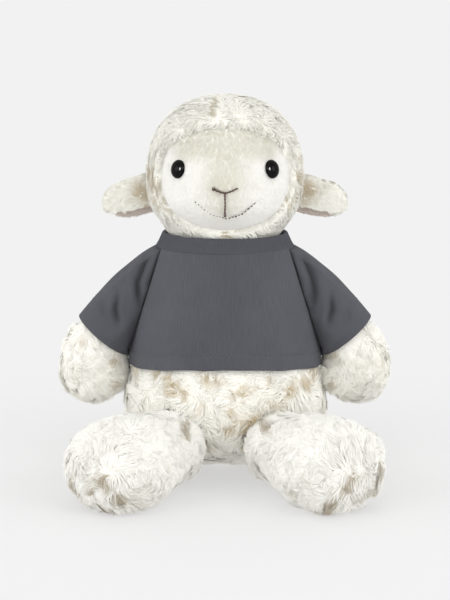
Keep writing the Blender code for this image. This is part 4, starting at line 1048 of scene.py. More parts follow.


# Body, arms, legs and tail

# dark patches on the pile; the two largest, in the hollows where the thighs meet the belly, are partly brown stain and
# partly painted shade
bodyStainsAndShade = (
    ((-46, -30, 46), 4, 0.35), ((-34, -38, 62), 3.5, 0.5), ((-29, -42, 58), 3, 0.5), ((-3, -48, 62), 3, 0.45),
    ((5, -48, 50), 3.5, 0.5), ((17, -47, 58), 3, 0.4), ((25, -43, 62), 3, 0.4), ((33, -38, 46), 3, 0.4),
    ((-14, -46, 44), 4, 0.4), ((16, -46, 38), 4.5, 0.5), ((-8, -47, 30), 3, 0.4), ((-11, -48, 63), 4, 0.6),
    ((-23, -44, 33), 6, 0.85), ((10, -48, 55), 4.5, 0.65), ((21, -45, 33), 6, 0.85), ((12, -47, 32), 5, 0.75),
    ((1, -48, 33), 4, 0.7), ((37, -36, 54), 4, 0.6), ((47, -27, 54), 4, 0.45), ((-41, -33, 62), 4, 0.6),
    ((-22, -44, 53), 4, 0.6), ((-32, -38, 54), 4, 0.5), ((-20, -42, 20), 3.5, 0.7), ((20, -42, 18), 3.5, 0.6),
    ((-11, -44, 20), 4, 0.5), ((12, -44, 22), 4, 0.5), ((52, -18, 62), 5, 0.5), ((-52, -18, 60), 5, 0.4),
    ((4, -47, 44), 3.5, 0.35), ((28, -42, 44), 4, 0.35),
)


def makeBody():
    # the body's ovals, grown out below the shirt and pressed in where the limbs are sewn on
    grid = ovalForm(*bodySectionList(), *body["grid"])
    normals = gridNormals(grid, True)
    balls, fences = [], []
    for _, sign in sides:
        balls += denseBalls(armParts(sign)[3][:3], 0.5) + denseBalls(legParts(sign)[3][:3], 0.5)
        fences += denseBalls(legParts(sign)[3], 0.0)
    grid += normals * body["swell"] * ease(shirt["armpit"] - grid[..., 2:3], 0, 12)
    grid = onFloor(pressIn(grid, normals, balls))
    clear = outsideOf(fences, 1.5)

    def layAt(points):
        # down and a little outwards, turned by slow swirls
        return points * [0.012, 0, 0] - zAxis + 0.7 * drift(points, 44, 3)

    def density(points):
        # below the shirt, fewer underneath and behind
        visible = points[..., 2] < 76
        under = 0.25 + 0.75 * ease(points[..., 2], 2, 8)
        back = 0.55 + 0.45 * ease(-points[..., 1], -30, 10)
        return clear(points) * visible * under * back

    def lengthAt(points):
        # shorter towards the hem, so that the shirt lies over it
        return 1 - 0.55 * ease(points[..., 2], 52, 66)

    pile = coveredPart(grid, bodyPile, layAt, density, 61, lengthAt, bodyStainsAndShade)
    nodes = ("body_skin", "body_stuffing", "pellet_bag")
    makePlush("body_plush", closedPart(grid, *backingMap), pile, bodyPileFinish, "torso", nodes)


cuff = {"out": 0.850, "down": 0.482, "tilt": 40.5, "ease": 2.4, "depthEase": 3.9}


def cuffFrame(sign):
    # the middle of the sleeve's open end, the way the arm runs through it, and its upward direction
    tilt = math.radians(cuff["tilt"])
    out, down = cuff["out"] * arm["reach"], cuff["down"] * arm["drop"]
    middle = np.array(arm["root"]) * [sign, 1, 1] + [sign * out, 0, -down]
    along = np.array([sign * math.sin(tilt), 0, -math.cos(tilt)])
    return middle, along, np.array([sign * math.cos(tilt), 0, math.sin(tilt)])


def makeArm(side, sign):
    # the arm's ovals, grown out beyond the cuff and most on the hand's inner side
    rows, start, tip, _ = armParts(sign)
    grid = ovalForm(rows, start, tip, *arm["grid"])
    middle, along, _ = cuffFrame(sign)
    normals = gridNormals(grid, True)
    inner = np.maximum(-sign * normals[..., :1], 0) * hump(grid[..., 2:3], 58, 16)
    beyond = ease(((grid - middle) @ along)[..., None], -2, 10)
    grid += normals * (arm["swell"] * beyond + arm["innerSwell"] * inner)

    def past(points):
        # how far beyond the cuff a point lies
        return (points - middle) @ along

    def layAt(points):
        # down along the arm, and every way about the hand's tip
        lay = along + 0.6 * drift(points, 30, 9 + sign) - zAxis * 0.4
        return lay + 1.2 * unit(points - tip) * near(points, tip, 9)[..., None]

    def density(points):
        # none where the sleeve covers the arm
        return (past(points) > -8) * 1.0

    def lengthAt(points):
        # short inside the cuff
        return 0.35 + 0.65 * ease(past(points), -3, 9)

    stains = [((sign * 65, -12, 64), 4, 0.35), ((sign * 63, -12, 51), 4.5, 0.5), ((sign * 83, -14, 77), 3.5, 0.35),
              ((sign * 90, -10, 62), 5, 0.3 if sign > 0 else 0.1), ((sign * 62, -6, 70), 5, 0.45),
              ((sign * 55, -8, 73), 4, 0.6)]
    pile = coveredPart(grid, armPile, layAt, density, 71 + sign, lengthAt, stains)
    nodes = (f"arm_{side}_skin", f"arm_{side}_stuffing")
    backing = closedPart(grid, *backingMap)
    makePlush(f"arm_{side}_plush", backing, pile, bodyPileFinish, f"arm_{side}", nodes)


# dark flecks on each foot's end: their places, radii and depths of tone
footFlecks = {
    "right": ((-96, -80, 21, 3.2, 0.7), (-94, -82, 15, 2.6, 0.5), (-83, -92, 12, 3.0, 0.75), (-79, -94, 8, 2.6, 0.5),
              (-67, -100, 21, 3.2, 0.75), (-62, -100, 16, 2.6, 0.5), (-55, -100, 11, 3.0, 0.7), (-87, -86, 3, 3.2, 0.6),
              (-46, -90, 17, 3, 0.45), (-63, -98, 1, 3.2, 0.6), (-74, -100, 4, 2.8, 0.4), (-71, -100, 14, 2.4, 0.4)),
    "left": ((63.5, -102, 15, 3.2, 0.75), (67, -102, 21, 2.6, 0.4), (55.5, -98, 7, 3.2, 0.75), (97, -80, 12, 3.2, 0.7),
             (71, -102, 7, 3, 0.6), (55, -98, 2, 3, 0.5), (36, -86, 13, 2.8, 0.4), (80, -98, 11, 3, 0.45),
             (88, -90, 4, 3, 0.4), (84, -96, 20, 2.4, 0.35), (76, -100, 1, 3, 0.4)),
}
fleckDepth = 1.3


def makeLeg(side, sign):
    # the leg's ovals, grown out past the hip but hardly where the legs face each other
    rows, start, toe, _, along = legParts(sign)
    grid = ovalForm(rows, start, toe, *leg["grid"])
    root = np.array(leg["root"]) * [sign, 1, 1]
    splay = math.radians(leg["splay"])
    inward = np.array([-sign * math.cos(splay), -math.sin(splay), 0])
    normals = gridNormals(grid, True)
    grow = leg["swell"] * ease((grid - root) @ along, 8, 26) * (1 - 0.9 * ease(normals @ inward, 0.1, 0.7))
    grid = onFloor(grid + normals * grow[..., None])

    def layAt(points):
        # away from above the middle of the foot's end, back over the leg and down its sides
        away = points - toe - zAxis * 8
        lay = away / np.maximum(np.linalg.norm(away, axis=-1, keepdims=True), 16)
        lay -= 0.35 * zAxis * ease((toe - points) @ along, 8, 30)[..., None]
        return lay + 0.5 * drift(points, 30, 13 + sign)

    def density(points):
        # none inside the body, few underneath
        run = (points - root) @ along
        return (run > -4) * (0.2 + 0.8 * ease(points[..., 2], 1.5, 6))

    def lengthAt(points):
        # smoother above, tufted on the foot's lower half
        run = (points - root) @ along
        smooth = 0.3 * ease(points[..., 2], 28, 42) * (1 - ease(run, 50, 64))
        return (1 - smooth) * (1 - 0.4 * ease((points - root) @ inward, 12, 26))

    def shadeAt(points):
        # painted shade: the foot's lower half is darker
        return 0.16 * (1 - ease(points[..., 2], 22, 36)) * ease((points - root) @ along, 30, 50)

    stains = [(fleck[:3], fleck[3], fleckDepth * fleck[4]) for fleck in footFlecks[side]]
    # a brown patch where the thigh meets the belly: partly stain, partly painted shade in that hollow
    stains.append(((sign * 21.5, -60, 38), 3.8, 0.75))
    pile = coveredPart(grid, legPile, layAt, density, 81 + sign, lengthAt, stains, shadeAt=shadeAt)
    nodes = (f"leg_{side}_skin", f"leg_{side}_stuffing")
    backing = closedPart(grid, *backingMap)
    makePlush(f"leg_{side}_plush", backing, pile, legPileFinish, f"leg_{side}", nodes)


def makeTail():
    # ovals square to one slanting line
    root = np.array(tail["root"])
    slope = math.radians(tail["slope"])
    along = np.array([0, math.sin(slope), -math.cos(slope)])
    shares = np.array(tailSections)
    points = root + along * shares[:, :1] * tail["length"]
    halves = shares[:, 1] * tail["width"] / 2
    before, after = [root, *points[:-1]], [*points[1:], points[-1]]
    rows = [(p, unit(np.cross(b - a, xAxis)), xAxis, h, h) for p, a, b, h in zip(points, before, after, halves)]
    tip = root + along * tail["length"]
    grid = ovalForm(rows, root, tip, *tail["grid"])

    def layAt(points):
        # down along the tail, and every way about its tip
        return along + 0 * points + 0.4 * unit(points - tip) * near(points, tip, 6)[..., None]

    def density(points):
        # none on the end that is sewn into the body
        return ((points - root) @ along > 3) * 1.0

    pile = coveredPart(grid, tailPile, layAt, density, 91)
    makePlush("tail_plush", closedPart(grid, *backingMap), pile, bodyPileFinish, "tail", ("tail",))


# T-shirt

shirt = {
    "collarTop": 140.3, "collarBase": 132.7, "topRadius": 36.5, "baseRadius": 40.4, "crest": 0.6, "band": 2.4,
    "hem": 63.0, "hemRise": 6.0, "hemWide": 56.1, "hemDeep": 50.5, "fullness": 3.0, "seamGap": 0.3, "jersey": 1.1,
    "raglanTop": 0.915, "armpit": 74.0, "hemFold": 9.0, "foldDepth": 1.8, "foldFade": 0.25, "grid": (100, 200),
    "groove": 0.14, "seamRoll": 0.35, "underarm": 1.2, "tuckIn": 1.5, "tuckUp": 1.2, "middleShade": 0.3,
}
# the folds' places from seam to seam, their widths and their shares of the full depth
shirtFolds = ((-0.58, 0.13, 1.00), (-0.20, 0.14, 0.55), (0.18, 0.13, 0.45), (0.56, 0.14, 0.90))


def shirtHalves(z):
    # half width and half depth: straight from collar to hem, swelled by a half sine wave
    share = (shirt["collarBase"] - z) / (shirt["collarBase"] - shirt["hem"])
    puff = shirt["fullness"] * np.sin(math.pi * np.clip(share, 0, 1))
    base = shirt["baseRadius"]
    return base + (shirt["hemWide"] - base) * share + puff, base + (shirt["hemDeep"] - base) * share + puff


def raglanX(z):
    # a straight line from under the collar to the armpit
    share = (shirt["collarBase"] - z) / (shirt["collarBase"] - shirt["armpit"])
    top = shirt["raglanTop"] * shirt["baseRadius"]
    return top + (shirtHalves(np.array(shirt["armpit"]))[0] - top) * share


def raglanTurn(z):
    # the angle on the shirt's oval at which the raglan seam stands, 0 from the armpit down
    return np.arccos(np.clip(raglanX(z) / shirtHalves(z)[0], -1, 1)) * (z > shirt["armpit"])


def clothMap(grid):
    # across and up the cloth in mm, so that the knit keeps its size; the middle column is 0
    across, down = runLengths(grid, 1), runLengths(grid)
    across = across - across[:, across.shape[1] // 2, None]
    return np.stack([across, -down], -1)


def makeShirtPanel(name, node, direction):
    # half width * cos(turn) and half depth * sin(turn), from seam to seam and from the collar to the hem
    rows, cols = shirt["grid"]
    share = np.linspace(0, 1, rows)[:, None]
    across = np.linspace(0, 1, cols)[None, :]
    top = shirt["collarBase"] - 0.05
    z = top + (shirt["hem"] - top) * share + 0 * across
    wide, deep = shirtHalves(z)
    start = raglanTurn(z)
    edge = shirt["seamGap"] / 2 / deep
    start = np.maximum(start + shirt["seamGap"] / 2 / wide, edge)
    turn = start + (math.pi - 2 * start) * across
    flat = np.stack([wide * np.cos(turn), direction * deep * np.sin(turn), z], -1)
    flat[..., 2] += shirt["hemRise"] * share * np.sin(turn) ** 2
    out = unit(flat * [1, 1, 0])
    seam = np.minimum(across, 1 - across) * (wide + deep) * 1.55
    # soft hanging folds that grow towards the hem, a rolled seam edge and the hem's stitched groove
    place = flat[..., 0] / raglanX(np.maximum(z, shirt["armpit"]))
    fade = np.clip((1 - np.abs(place)) / shirt["foldFade"], 0, 1)
    main = sum(depth * hump(-direction * place, middle, spread) for middle, spread, depth in shirtFolds)
    folds = shirt["foldDepth"] * share * fade * main
    folds += 0.35 * waves(flat * [1, 1, 0.12], 26, 100 + direction) * ease(share, 0.25, 1.0)
    folds += 0.3 * waves(flat * [1, 1, 0.5], 40, 102 + direction)
    folds = folds * ease(seam, 0, 5) * ease(share, 0, 0.1)
    run = (1 - share) * (top - shirt["hem"])
    folds = folds - shirt["groove"] * hump(run, shirt["hemFold"], 0.7) - shirt["seamRoll"] * hump(seam, 0, 0.8)
    folds += shirt["underarm"] * hump(z, 70, 6) * (1 - ease(seam, 4, 16))
    grid = flat + out * folds[..., None]
    # the seam allowance, tucked in behind the band
    grid = np.concatenate([[grid[0] - out[0] * shirt["tuckIn"] + zAxis * shirt["tuckUp"]], grid])
    run = np.concatenate([run[:1], run])
    out = np.concatenate([out[:1], out])
    cloth = clothMap(grid)
    thickness = shirt["jersey"] * (1 + 0.5 * (run < shirt["hemFold"])) + 0 * across
    outSign = np.sign((gridNormals(grid, False, 1) * out).sum())
    part = shellPart(grid, thickness, False, outSign, cloth)
    # painted shade: the panel is darker down its middle
    middle = shirt["middleShade"] * hump(grid[..., 0], 0, 28)
    part["fold"] = np.concatenate([middle, middle[::-1]]).ravel()
    return makePiece(name, [part], jerseyFinish, "torso", (node,)), grid


stitch = {"pitch": 2.6, "half": 0.95, "apart": 0.75, "radius": 0.17, "lift": 0.02, "bow": 0.4}


def hemStitches(name, grids, run, body, wrapped):
    # two rows of short stitches side by side, each following the cloth's own surface
    parts = []
    for grid in grids:
        normals = gridNormals(grid, wrapped, 1)
        normals *= np.sign((normals * unit(grid - grid.mean((0, 1)))).sum())
        lengths = runLengths(grid)
        lengths = lengths[-1:] - lengths
        for height in (run - stitch["apart"], run + stitch["apart"]):
            row = np.argmin(np.abs(lengths.mean(1) - height))
            line, lift = grid[row], normals[row]
            if wrapped:
                line, lift = np.concatenate([line, line[:1]]), np.concatenate([lift, lift[:1]])
            at = runLengths(line)
            count = int(at[-1] / stitch["pitch"])
            marks = (np.arange(count) + 0.5) * at[-1] / count
            up = unit(placesAlong(marks, at, lift))
            starts = placesAlong(marks - stitch["half"], at, line) + up * stitch["lift"]
            ends = placesAlong(marks + stitch["half"], at, line) + up * stitch["lift"]
            parts += stitchParts(starts, ends, up, stitch["radius"], rows=5, around=6, bow=stitch["bow"])
    return makePiece(name, parts, shirtThreadFinish, body, ())


neckband = {"columns": 720, "ribs": 170, "ribDepth": 0.16, "wave": 0.15, "rise": 14}
neckbandDraw = ((0, 0), (0.2, 0.26), (0.45, 0.53), (0.8, 0.84), (1, 1))     # share of height, share of flare


def makeNeckband():
    # the band's profile carried round: up the outside, over the crest and down the inside, with fine ribs
    height = shirt["collarTop"] - shirt["collarBase"]
    rise = np.linspace(0, 1, neckband["rise"])
    drawn = np.interp(rise, *np.array(neckbandDraw).T)
    flare = shirt["baseRadius"] - shirt["topRadius"]
    outside = np.stack([shirt["baseRadius"] - flare * drawn, shirt["collarBase"] + height * rise], 1)
    wall = shirt["band"]
    bend = np.radians(np.linspace(20, 160, 8))
    over = shirt["topRadius"] - wall / 2 + wall / 2 * np.cos(bend)
    crest = np.stack([over, shirt["collarTop"] + shirt["crest"] * np.sin(bend)], 1)
    inside = outside[::-1] - [wall, 0]
    profile = np.concatenate([outside, crest, inside])
    turn = fullTurn(neckband["columns"])[None, :]
    # the ribs fade towards both edges of the outside and stop at the crest
    place = np.arange(len(profile))[:, None]
    rib = neckband["ribDepth"] * np.cos(turn * neckband["ribs"]) * hump(place, 8, 9) * (place < 20)
    radius = profile[:, :1] + rib
    grid = np.stack([radius * np.cos(turn), radius * np.sin(turn), profile[:, 1:] + 0 * turn], -1)
    grid[..., 2] += neckband["wave"] * waves(grid * [1, 1, 0], 50, 77)
    rows, cols = grid.shape[:2]
    i, j = cells(rows, cols)
    ni, nj = (i + 1) % rows, (j + 1) % cols
    faces = np.stack([i * cols + j, i * cols + nj, ni * cols + nj, ni * cols + j], 1)
    u = np.stack([j, j + 1, j + 1, j], 1) / cols
    v = np.stack([i, i, i + 1, i + 1], 1) / rows
    run = runLengths(profile)
    run = np.append(run, run[-1] + wall)
    cloth = np.stack([u * 2 * math.pi * shirt["topRadius"], run[np.stack([i, i, i + 1, i + 1], 1)]], -1)
    part = {"points": grid.reshape(-1, 3), "faces": [faces], "maps": [np.stack([u, v], -1)], "cloth": [cloth]}
    piece = makePiece("neckband_rib", [part], ribFinish, "torso", ("neckband",))


sleeve = {
    "grid": (76, 190), "puff": 3.2, "ease": 1.0, "arcShare": 0.16, "shoulderPuff": 1.9, "wave": 0.25,
    "length": 24.0, "hemFold": 7.5, "groove": 0.2, "soften": 10.0, "seamShade": 0.6, "seamRoll": 0.4,
    "clear": 1.5, "girth": 118.0,
}
# the folds' places round the sleeve from its top, their widths and their depths
sleeveFolds = ((0.143, 0.036, 1.6), (0.278, 0.036, 2.0), (0.508, 0.036, 1.8), (0.667, 0.036, 1.4))
# the seam allowance: how far each row goes towards the middle, and how far in
sleeveTucks = ((3.2, 2.6), (1.2, 1.9))
# the drag lines on each sleeve's front: places across and up, depth and width
sleeveCreases = {
    "right": ((((42.2, 131.5), (46.4, 124), (50.2, 114), (49.7, 108), (48.4, 101)), 2.4, 1.4),
              (((61.8, 108.5), (63.2, 98), (61.4, 89)), 1.8, 1.4), (((70, 104), (71, 92)), 0.5, 1.8)),
    "left": ((((44, 133), (46.6, 125.5), (50.2, 117), (51.2, 108), (49.5, 98)), 2.5, 1.7),
             (((61.6, 107.5), (61.6, 98), (59, 88.5)), 1.8, 1.4), (((71.3, 100), (71.3, 89)), 0.5, 1.8)),
}


def besidePath(x, z, path):
    # how far a point lies from a drawn line, seen from the front, and its share of the way along it
    spots = np.array(path, float)
    gap, share = np.full(x.shape, 1e9), np.zeros(x.shape)
    for k, (start, line) in enumerate(zip(spots, np.diff(spots, axis=0))):
        t = np.clip(((x - start[0]) * line[0] + (z - start[1]) * line[1]) / (line @ line), 0, 1)
        away = np.hypot(x - start[0] - line[0] * t, z - start[1] - line[1] * t)
        share = np.where(away < gap, (k + t) / (len(spots) - 1), share)
        gap = np.minimum(gap, away)
    return gap, share


def armholeLoop(sign, count):
    # across under the collar, down the front seam, and up the back one
    top = shirt["collarBase"] - shirt["seamGap"]
    bottom = shirt["armpit"] + shirt["jersey"]
    s = np.linspace(0, 1, count, endpoint=False)
    arc = sleeve["arcShare"]
    wide, deep = shirtHalves(np.array(top))
    arcHalf = deep * math.sqrt(1 - min(float(raglanX(np.array(top)) / wide), 1) ** 2)
    down = np.clip((s - arc / 2) / (0.5 - arc / 2), 0, 1)
    up = np.clip((1 - arc / 2 - s) / (0.5 - arc / 2), 0, 1)
    share = np.minimum(down, up)
    z = top + (bottom - top) * np.sin(share * math.pi / 2)
    wides, deeps = shirtHalves(z)
    x = raglanX(z)
    y = deeps * np.sqrt(np.maximum(1 - np.minimum(x / wides, 1) ** 2, 0))
    y = np.where(s < 0.5, -y, y)
    onArc = (s < arc / 2) | (s > 1 - arc / 2)
    t = np.where(s > 0.5, s - 1, s) / (arc / 2)
    y = np.where(onArc, -arcHalf * t, y)
    x = np.where(onArc, np.sqrt(shirt["baseRadius"] ** 2 - y ** 2), x)
    return np.stack([sign * x, y, z], 1)


def clearOfArm(points, sign, extra):
    # a point nearer to the arm's middle line than the arm is thick goes straight out from the line
    balls = armParts(sign)[3]
    for (a, r), (b, s) in zip(balls, balls[1:]):
        line = b - a
        t = np.clip(((points - a) @ line) / (line @ line), 0, 1)[..., None]
        nearestPoint = a + line * t
        away = points - nearestPoint
        gap = np.linalg.norm(away, axis=-1, keepdims=True)
        least = r + (s - r) * t + extra
        points = np.where(gap < least, nearestPoint + away / gap * least, points)
    return points


def makeSleeve(side, sign):
    # straight lines from the armhole to the cuff, swelled between, with creases where the arm hangs
    rows, cols = sleeve["grid"]
    hole = armholeLoop(sign, cols)
    middle, _, up = cuffFrame(sign)
    half = np.interp(cuff["out"], *np.array(armSections).T[[0, 2]]) * arm["width"] / 2
    turn = (2 * math.pi * np.arange(cols) / cols)[:, None]
    end = middle + up * np.cos(turn) * (half + cuff["ease"]) - yAxis * np.sin(turn) * (half + cuff["depthEase"])
    share = np.linspace(0, 1, rows)[:, None, None]
    grid = hole[None] * (1 - share) + end[None] * share
    out = unit(grid - grid.mean(1, keepdims=True))
    s = share[..., 0]
    around = np.arange(cols)[None, :] / cols
    main = sum(depth * hump(around, place, spread) for place, spread, depth in sleeveFolds)
    lift = (sleeve["puff"] + 0.7 * main) * np.sin(math.pi * s)
    lift += sleeve["shoulderPuff"] * hump(np.minimum(around, 1 - around), 0, 0.13) * hump(s, 0.2, 0.13)
    wave = waves(grid * [1, 1, 0.45], 24, 120 + sign)
    lift += sleeve["wave"] * wave * ease(s, 0.1, 0.5) * ease(1 - s, 0.0, 0.35)
    run = (1 - s) * sleeve["length"]
    grid = grid + out * (lift - sleeve["groove"] * hump(run, sleeve["hemFold"], 0.5))[..., None]
    grid = clearOfArm(grid, sign, sleeve["ease"] + shirt["jersey"])
    # a bell-shaped mean along the sleeve takes the arm's own corner out of it
    reach = int(2 * sleeve["soften"])
    bell = hump(np.arange(-reach, reach + 1), 0, sleeve["soften"])
    padded = np.concatenate([2 * grid[:1] - grid[reach:0:-1], grid, 2 * grid[-1:] - grid[-2:-2 - reach:-1]])
    soft = sum(weight * padded[k:k + rows] for k, weight in enumerate(bell / bell.sum()))
    grid = grid + (soft - grid) * (ease(s, 0.0, 0.1) * ease(1 - s, 0.0, 0.1))[..., None]
    # painted shadow along the raglan seam, at the sleeve's top edge
    fold = sleeve["seamShade"] * hump(s, 0, 0.0225) + 0 * around
    normals = gridNormals(grid, True)
    facing = ease(-normals[..., 1], 0.1, 0.5)
    for path, depth, width in sleeveCreases[side]:
        # a valley with a low ridge on each side of it
        gap, at = besidePath(sign * grid[..., 0], grid[..., 2], path)
        fade = np.sin(math.pi * np.clip(at, 0.04, 0.96)) ** 0.7 * facing
        valley = hump(gap, 0, width) - 0.5 * hump(gap, 2.9 * width, 1.5 * width)
        grid = grid - normals * (depth * fade * valley)[..., None]
        # painted shade in the crease's valley, deeper where the crease is deeper
        fold = np.maximum(fold, np.minimum(1.3 * fade * depth / 2.4, 1) * hump(gap, 0, 1.3 * width))
    # outside the raglan line, and below the armpit outside the shirt's side
    grid[..., 0] = sign * np.maximum(sign * grid[..., 0], raglanX(grid[..., 2]) + shirt["seamGap"])
    shirtSide = shirtHalves(np.clip(grid[..., 2], shirt["hem"], shirt["collarTop"]))[0] + sleeve["clear"]
    widest = np.where(grid[..., 2] < shirt["armpit"], shirtSide, 0)
    grid[..., 0] = sign * np.maximum(sign * grid[..., 0], widest)
    normals = gridNormals(grid, True)
    grid = grid - normals * (sleeve["seamRoll"] * hump(s, 0, 0.02))[..., None]
    # the seam allowance: rows tucked in under the shirt's edge
    tuck = unit(grid[0] * [1, 1, 0])
    allowance = [grid[0] - xAxis * sign * over - tuck * depth for over, depth in sleeveTucks]
    grid = np.concatenate([allowance, grid])
    fold = np.concatenate([fold[:1], fold[:1], fold])
    across = np.cumsum(np.full(grid.shape[:2], sleeve["girth"] / cols), 1)
    cloth = np.stack([across, -runLengths(grid)], -1)
    part = shellPart(grid, shirt["jersey"], True, cloth=cloth)
    part["fold"] = np.concatenate([fold, fold[::-1]]).ravel()
    name = f"sleeve_{side}"
    return makePiece(f"{name}_jersey", [part], sleeveFinish, None, (name,)), grid


def bendSleeve(piece):
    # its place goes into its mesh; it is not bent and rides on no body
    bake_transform(piece)


# Finishes of cloth, thread and plastic

def knitFinish(name, wale, course, rib, depth, colour, valley):
    # loops in columns: each column is two slanted legs, and each leg a row of short strands
    cloth = {"Sheen Weight": 0.06, "Sheen Roughness": 0.5, "Specular IOR Level": 0.12}
    finish = Finish(name, Roughness=0.95, **cloth)
    across, up = finish.map("cloth")
    column = (across / wale).part() - 0.5
    leg = (column.size() * (2 * math.pi)).sine().size()
    loop = ((up / course + column.size() * 1.1) * (2 * math.pi)).sine() * 0.5 + 0.5
    height = leg * (loop * 0.45 + 0.55)
    place = finish.objectPoint()
    cloudy, fuzz = finish.noise(place, 55.0, 3.0), finish.noise(place, 2600.0, 1.0)
    ribs = (across / rib * (2 * math.pi)).sine() * 0.5 + 0.5
    streaks = finish.noise(finish.add("ShaderNodeCombineXYZ", None, {0: across, 1: up * 0.1}), 1.2)
    shade = height * 0.35 + fuzz * 0.3 + (ribs * 0.5 + streaks * 1.6 - 0.3) * depth + (0.35 - depth) / 2
    knitted = finish.mix(shade, valley, colour)
    clouded = finish.mix(cloudy * 0.35, knitted, tuple(1.28 * c for c in colour))
    # painted shade: the attribute the mesh carries darkens the colour in the sleeves' creases, at their armhole seams
    # and down the panels' middle
    fold = finish.add("ShaderNodeAttribute", {"attribute_name": "fold"}, None, "Fac")
    finish.feed("Base Color", finish.mix(fold * 0.7, clouded, tuple(0.25 * c for c in colour)))
    bump = {"Height": height, "Distance": 0.0003, "Strength": 0.5}
    finish.feed("Normal", finish.add("ShaderNodeBump", None, bump))
    return finish.material


def plainFinish(name, colour, other, scale, roughness, **fixed):
    # one colour clouded by another
    finish = Finish(name, Roughness=roughness, **fixed)
    finish.feed("Base Color", finish.mix(finish.noise(finish.objectPoint(), scale), colour, other))
    return finish.material


# wale, course and rib in mm of cloth, the streaks' depth, then the cloth's colour and its valleys'
jerseyValley = (0.040, 0.042, 0.051)
jerseyFinish = knitFinish("charcoal_jersey_knit", 0.6, 0.5, 1.2, 0.40, (0.114, 0.117, 0.135), jerseyValley)
sleeveFinish = knitFinish("charcoal_sleeve_knit", 0.6, 0.5, 1.2, 0.08, (0.106, 0.109, 0.125), jerseyValley)
ribFinish = knitFinish("charcoal_rib_knit", 0.9, 0.6, 1.8, 0.35, (0.078, 0.081, 0.096), (0.056, 0.058, 0.070))
threadFinish = plainFinish("brown_embroidery_thread", (0.085, 0.032, 0.02), (0.03, 0.013, 0.009), 1500, 0.6)
shirtThreadFinish = plainFinish("charcoal_thread", (0.086, 0.088, 0.10), (0.06, 0.06, 0.07), 1200, 0.6)
eyeGloss = {"Specular IOR Level": 0.11}
eyeFinish = plainFinish("black_eye_plastic", (0.002, 0.002, 0.002), (0.004, 0.003, 0.003), 300, 0.14, **eyeGloss)
washerFinish = plainFinish("clear_white_plastic", (0.72, 0.73, 0.74), (0.66, 0.67, 0.69), 500, 0.4)


# The pieces, in the order in which they are sewn

makeBody()
say("body")
makeHead()
makeFace()
say("head and face")
makeEyes()
makeEmbroidery()
for side, sign in sides:
    makeEar(side, sign)
    makeArm(side, sign)
    makeLeg(side, sign)
    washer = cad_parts[f"eye_washer_{side}"].data.materials
    washer.clear()
    washer.append(washerFinish)
makeTail()
say("ears, limbs and tail")

# The outside of each sheet, in square mm.
hemGrids = []
for end, direction in (("front", -1), ("back", 1)):
    piece, grid = makeShirtPanel(f"shirt_{end}_jersey", f"shirt_{end}", direction)
    hemGrids.append(grid)
    area = outsideArea(grid)
    say(f"shirt {end} outside {area:.0f} square mm")
hemStitches("hem_stitching", hemGrids, shirt["hemFold"], "torso", False)
makeNeckband()
for side, sign in sides:
    piece, grid = makeSleeve(side, sign)
    area = outsideArea(grid)
    say(f"sleeve {side} outside {area:.0f} square mm")
    bendSleeve(piece)
    stitching = hemStitches(f"cuff_{side}_stitching", [grid], sleeve["hemFold"], None, True)
    bendSleeve(stitching)
say("shirt")


# Floor, light and camera

backdrop = {"grey": 0.886, "floor": 0.78, "ambient": 0.96, "glow": 0.5, "reach": 4.0, "near": 0.10, "far": 0.34}
lamps = {
    "left": {"place": (-0.80, -0.66, 0.45), "size": 0.7, "power": 3.1},
    "right": {"place": (0.80, -0.66, 0.45), "size": 0.7, "power": 3.1},
    "catch": {"place": (-0.06, -1.0, 0.44), "size": 0.42, "power": 36.0},      # its reflection in the eyes
    "top": {"place": (0.1, 0.25, 1.1), "size": 0.6, "power": 0.3},
}
view = {"lens": 91.98, "sensor": 36, "distance": 0.9, "elevation": 10, "height": 0.1, "near": 0.01, "far": 20}


def grey(level):
    # one value for red, green and blue
    return (level, level, level, 1)


def aim(holder, place, target):
    # at its place, with its own -Z towards the target
    holder.location = place
    holder.rotation_mode = "QUATERNION"
    holder.rotation_quaternion = (target - Vector(place)).to_track_quat("-Z", "Y")


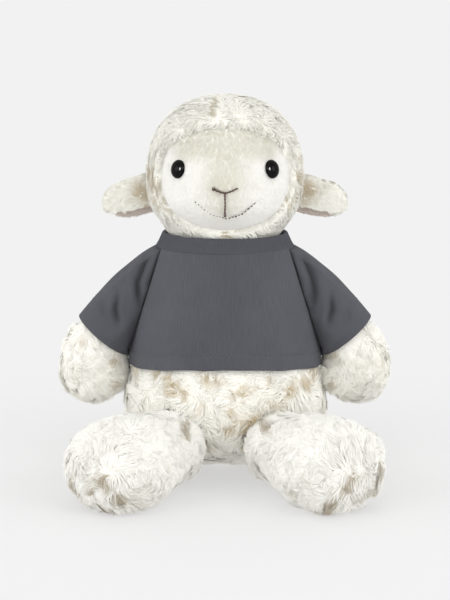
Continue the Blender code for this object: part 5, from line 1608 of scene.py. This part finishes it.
def makeFloor():
    # a plane whose shaded colour turns into the backdrop's own grey with the distance from the sheep
    mesh = bpy.data.meshes.new("floor")
    r = backdrop["reach"]
    mesh.from_pydata([(-r, -r, 0), (r, -r, 0), (r, r, 0), (-r, r, 0)], [], [(0, 1, 2, 3)])
    addObject("floor", mesh)
    material = bpy.data.materials.new("pale_floor")
    nodes = Nodes(material)
    nodes.tree.nodes.remove(nodes.tree.nodes["Principled BSDF"])
    diffuse = nodes.add("ShaderNodeBsdfDiffuse", None, {"Color": grey(backdrop["floor"])})
    glow = nodes.add("ShaderNodeEmission", None, {"Color": grey(backdrop["grey"])})
    point = nodes.add("ShaderNodeTexCoord", None, None, "Object")
    away = nodes.add("ShaderNodeVectorMath", {"operation": "LENGTH"}, {0: point}, "Value")
    ends = {"From Min": backdrop["near"], "From Max": backdrop["far"], "To Min": backdrop["glow"]}
    fade = nodes.add("ShaderNodeMapRange", {"interpolation_type": "SMOOTHSTEP"}, {"Value": away, **ends})
    nodes.close(nodes.add("ShaderNodeMixShader", None, {0: fade, 1: diffuse, 2: glow}), "Material Output")
    mesh.materials.append(material)


def makeWorld():
    # the light of a pale room; the camera and reflections see the photograph's plain grey instead
    world = bpy.data.worlds.new("studio")
    bpy.context.scene.world = world
    nodes = Nodes(world)
    room = nodes.tree.nodes["Background"]
    room.inputs["Color"].default_value = grey(1.0)
    room.inputs["Strength"].default_value = backdrop["ambient"]
    seen = nodes.add("ShaderNodeBackground", None, {"Color": grey(backdrop["grey"])})
    rays = nodes.add("ShaderNodeLightPath").socket.node.outputs
    kinds = ("Camera", "Glossy", "Transmission")
    camera, glossy, clear = (Wire(nodes, rays[f"Is {kind} Ray"]) for kind in kinds)
    choice = {0: camera + glossy + clear, 1: Wire(nodes, room.outputs[0]), 2: seen}
    nodes.close(nodes.add("ShaderNodeMixShader", None, choice), "World Output")


def makeLamps():
    # round lamps, each aimed at the sheep's middle
    for name, settings in lamps.items():
        lamp = bpy.data.lights.new(name, "AREA")
        lamp.shape, lamp.size, lamp.energy = "DISK", settings["size"], settings["power"]
        holder = addObject(name, lamp)
        aim(holder, settings["place"], Vector((0, 0, view["height"])))
        holder.visible_diffuse = name != "catch"


def makeCamera():
    # a long lens, a little above the sheep
    data = bpy.data.cameras.new("camera")
    data.lens, data.sensor_width = view["lens"], view["sensor"]
    data.clip_start, data.clip_end = view["near"], view["far"]
    holder = addObject("camera", data)
    target = Vector((0, middleY * mm, view["height"]))
    elevation = math.radians(view["elevation"])
    back = Vector((0, -math.cos(elevation), math.sin(elevation))) * view["distance"]
    aim(holder, target + back, target)
    bpy.context.scene.camera = holder


makeFloor()
makeWorld()
makeLamps()
makeCamera()
bpy.context.scene.view_settings.view_transform = "Standard"
say("floor, light and camera")
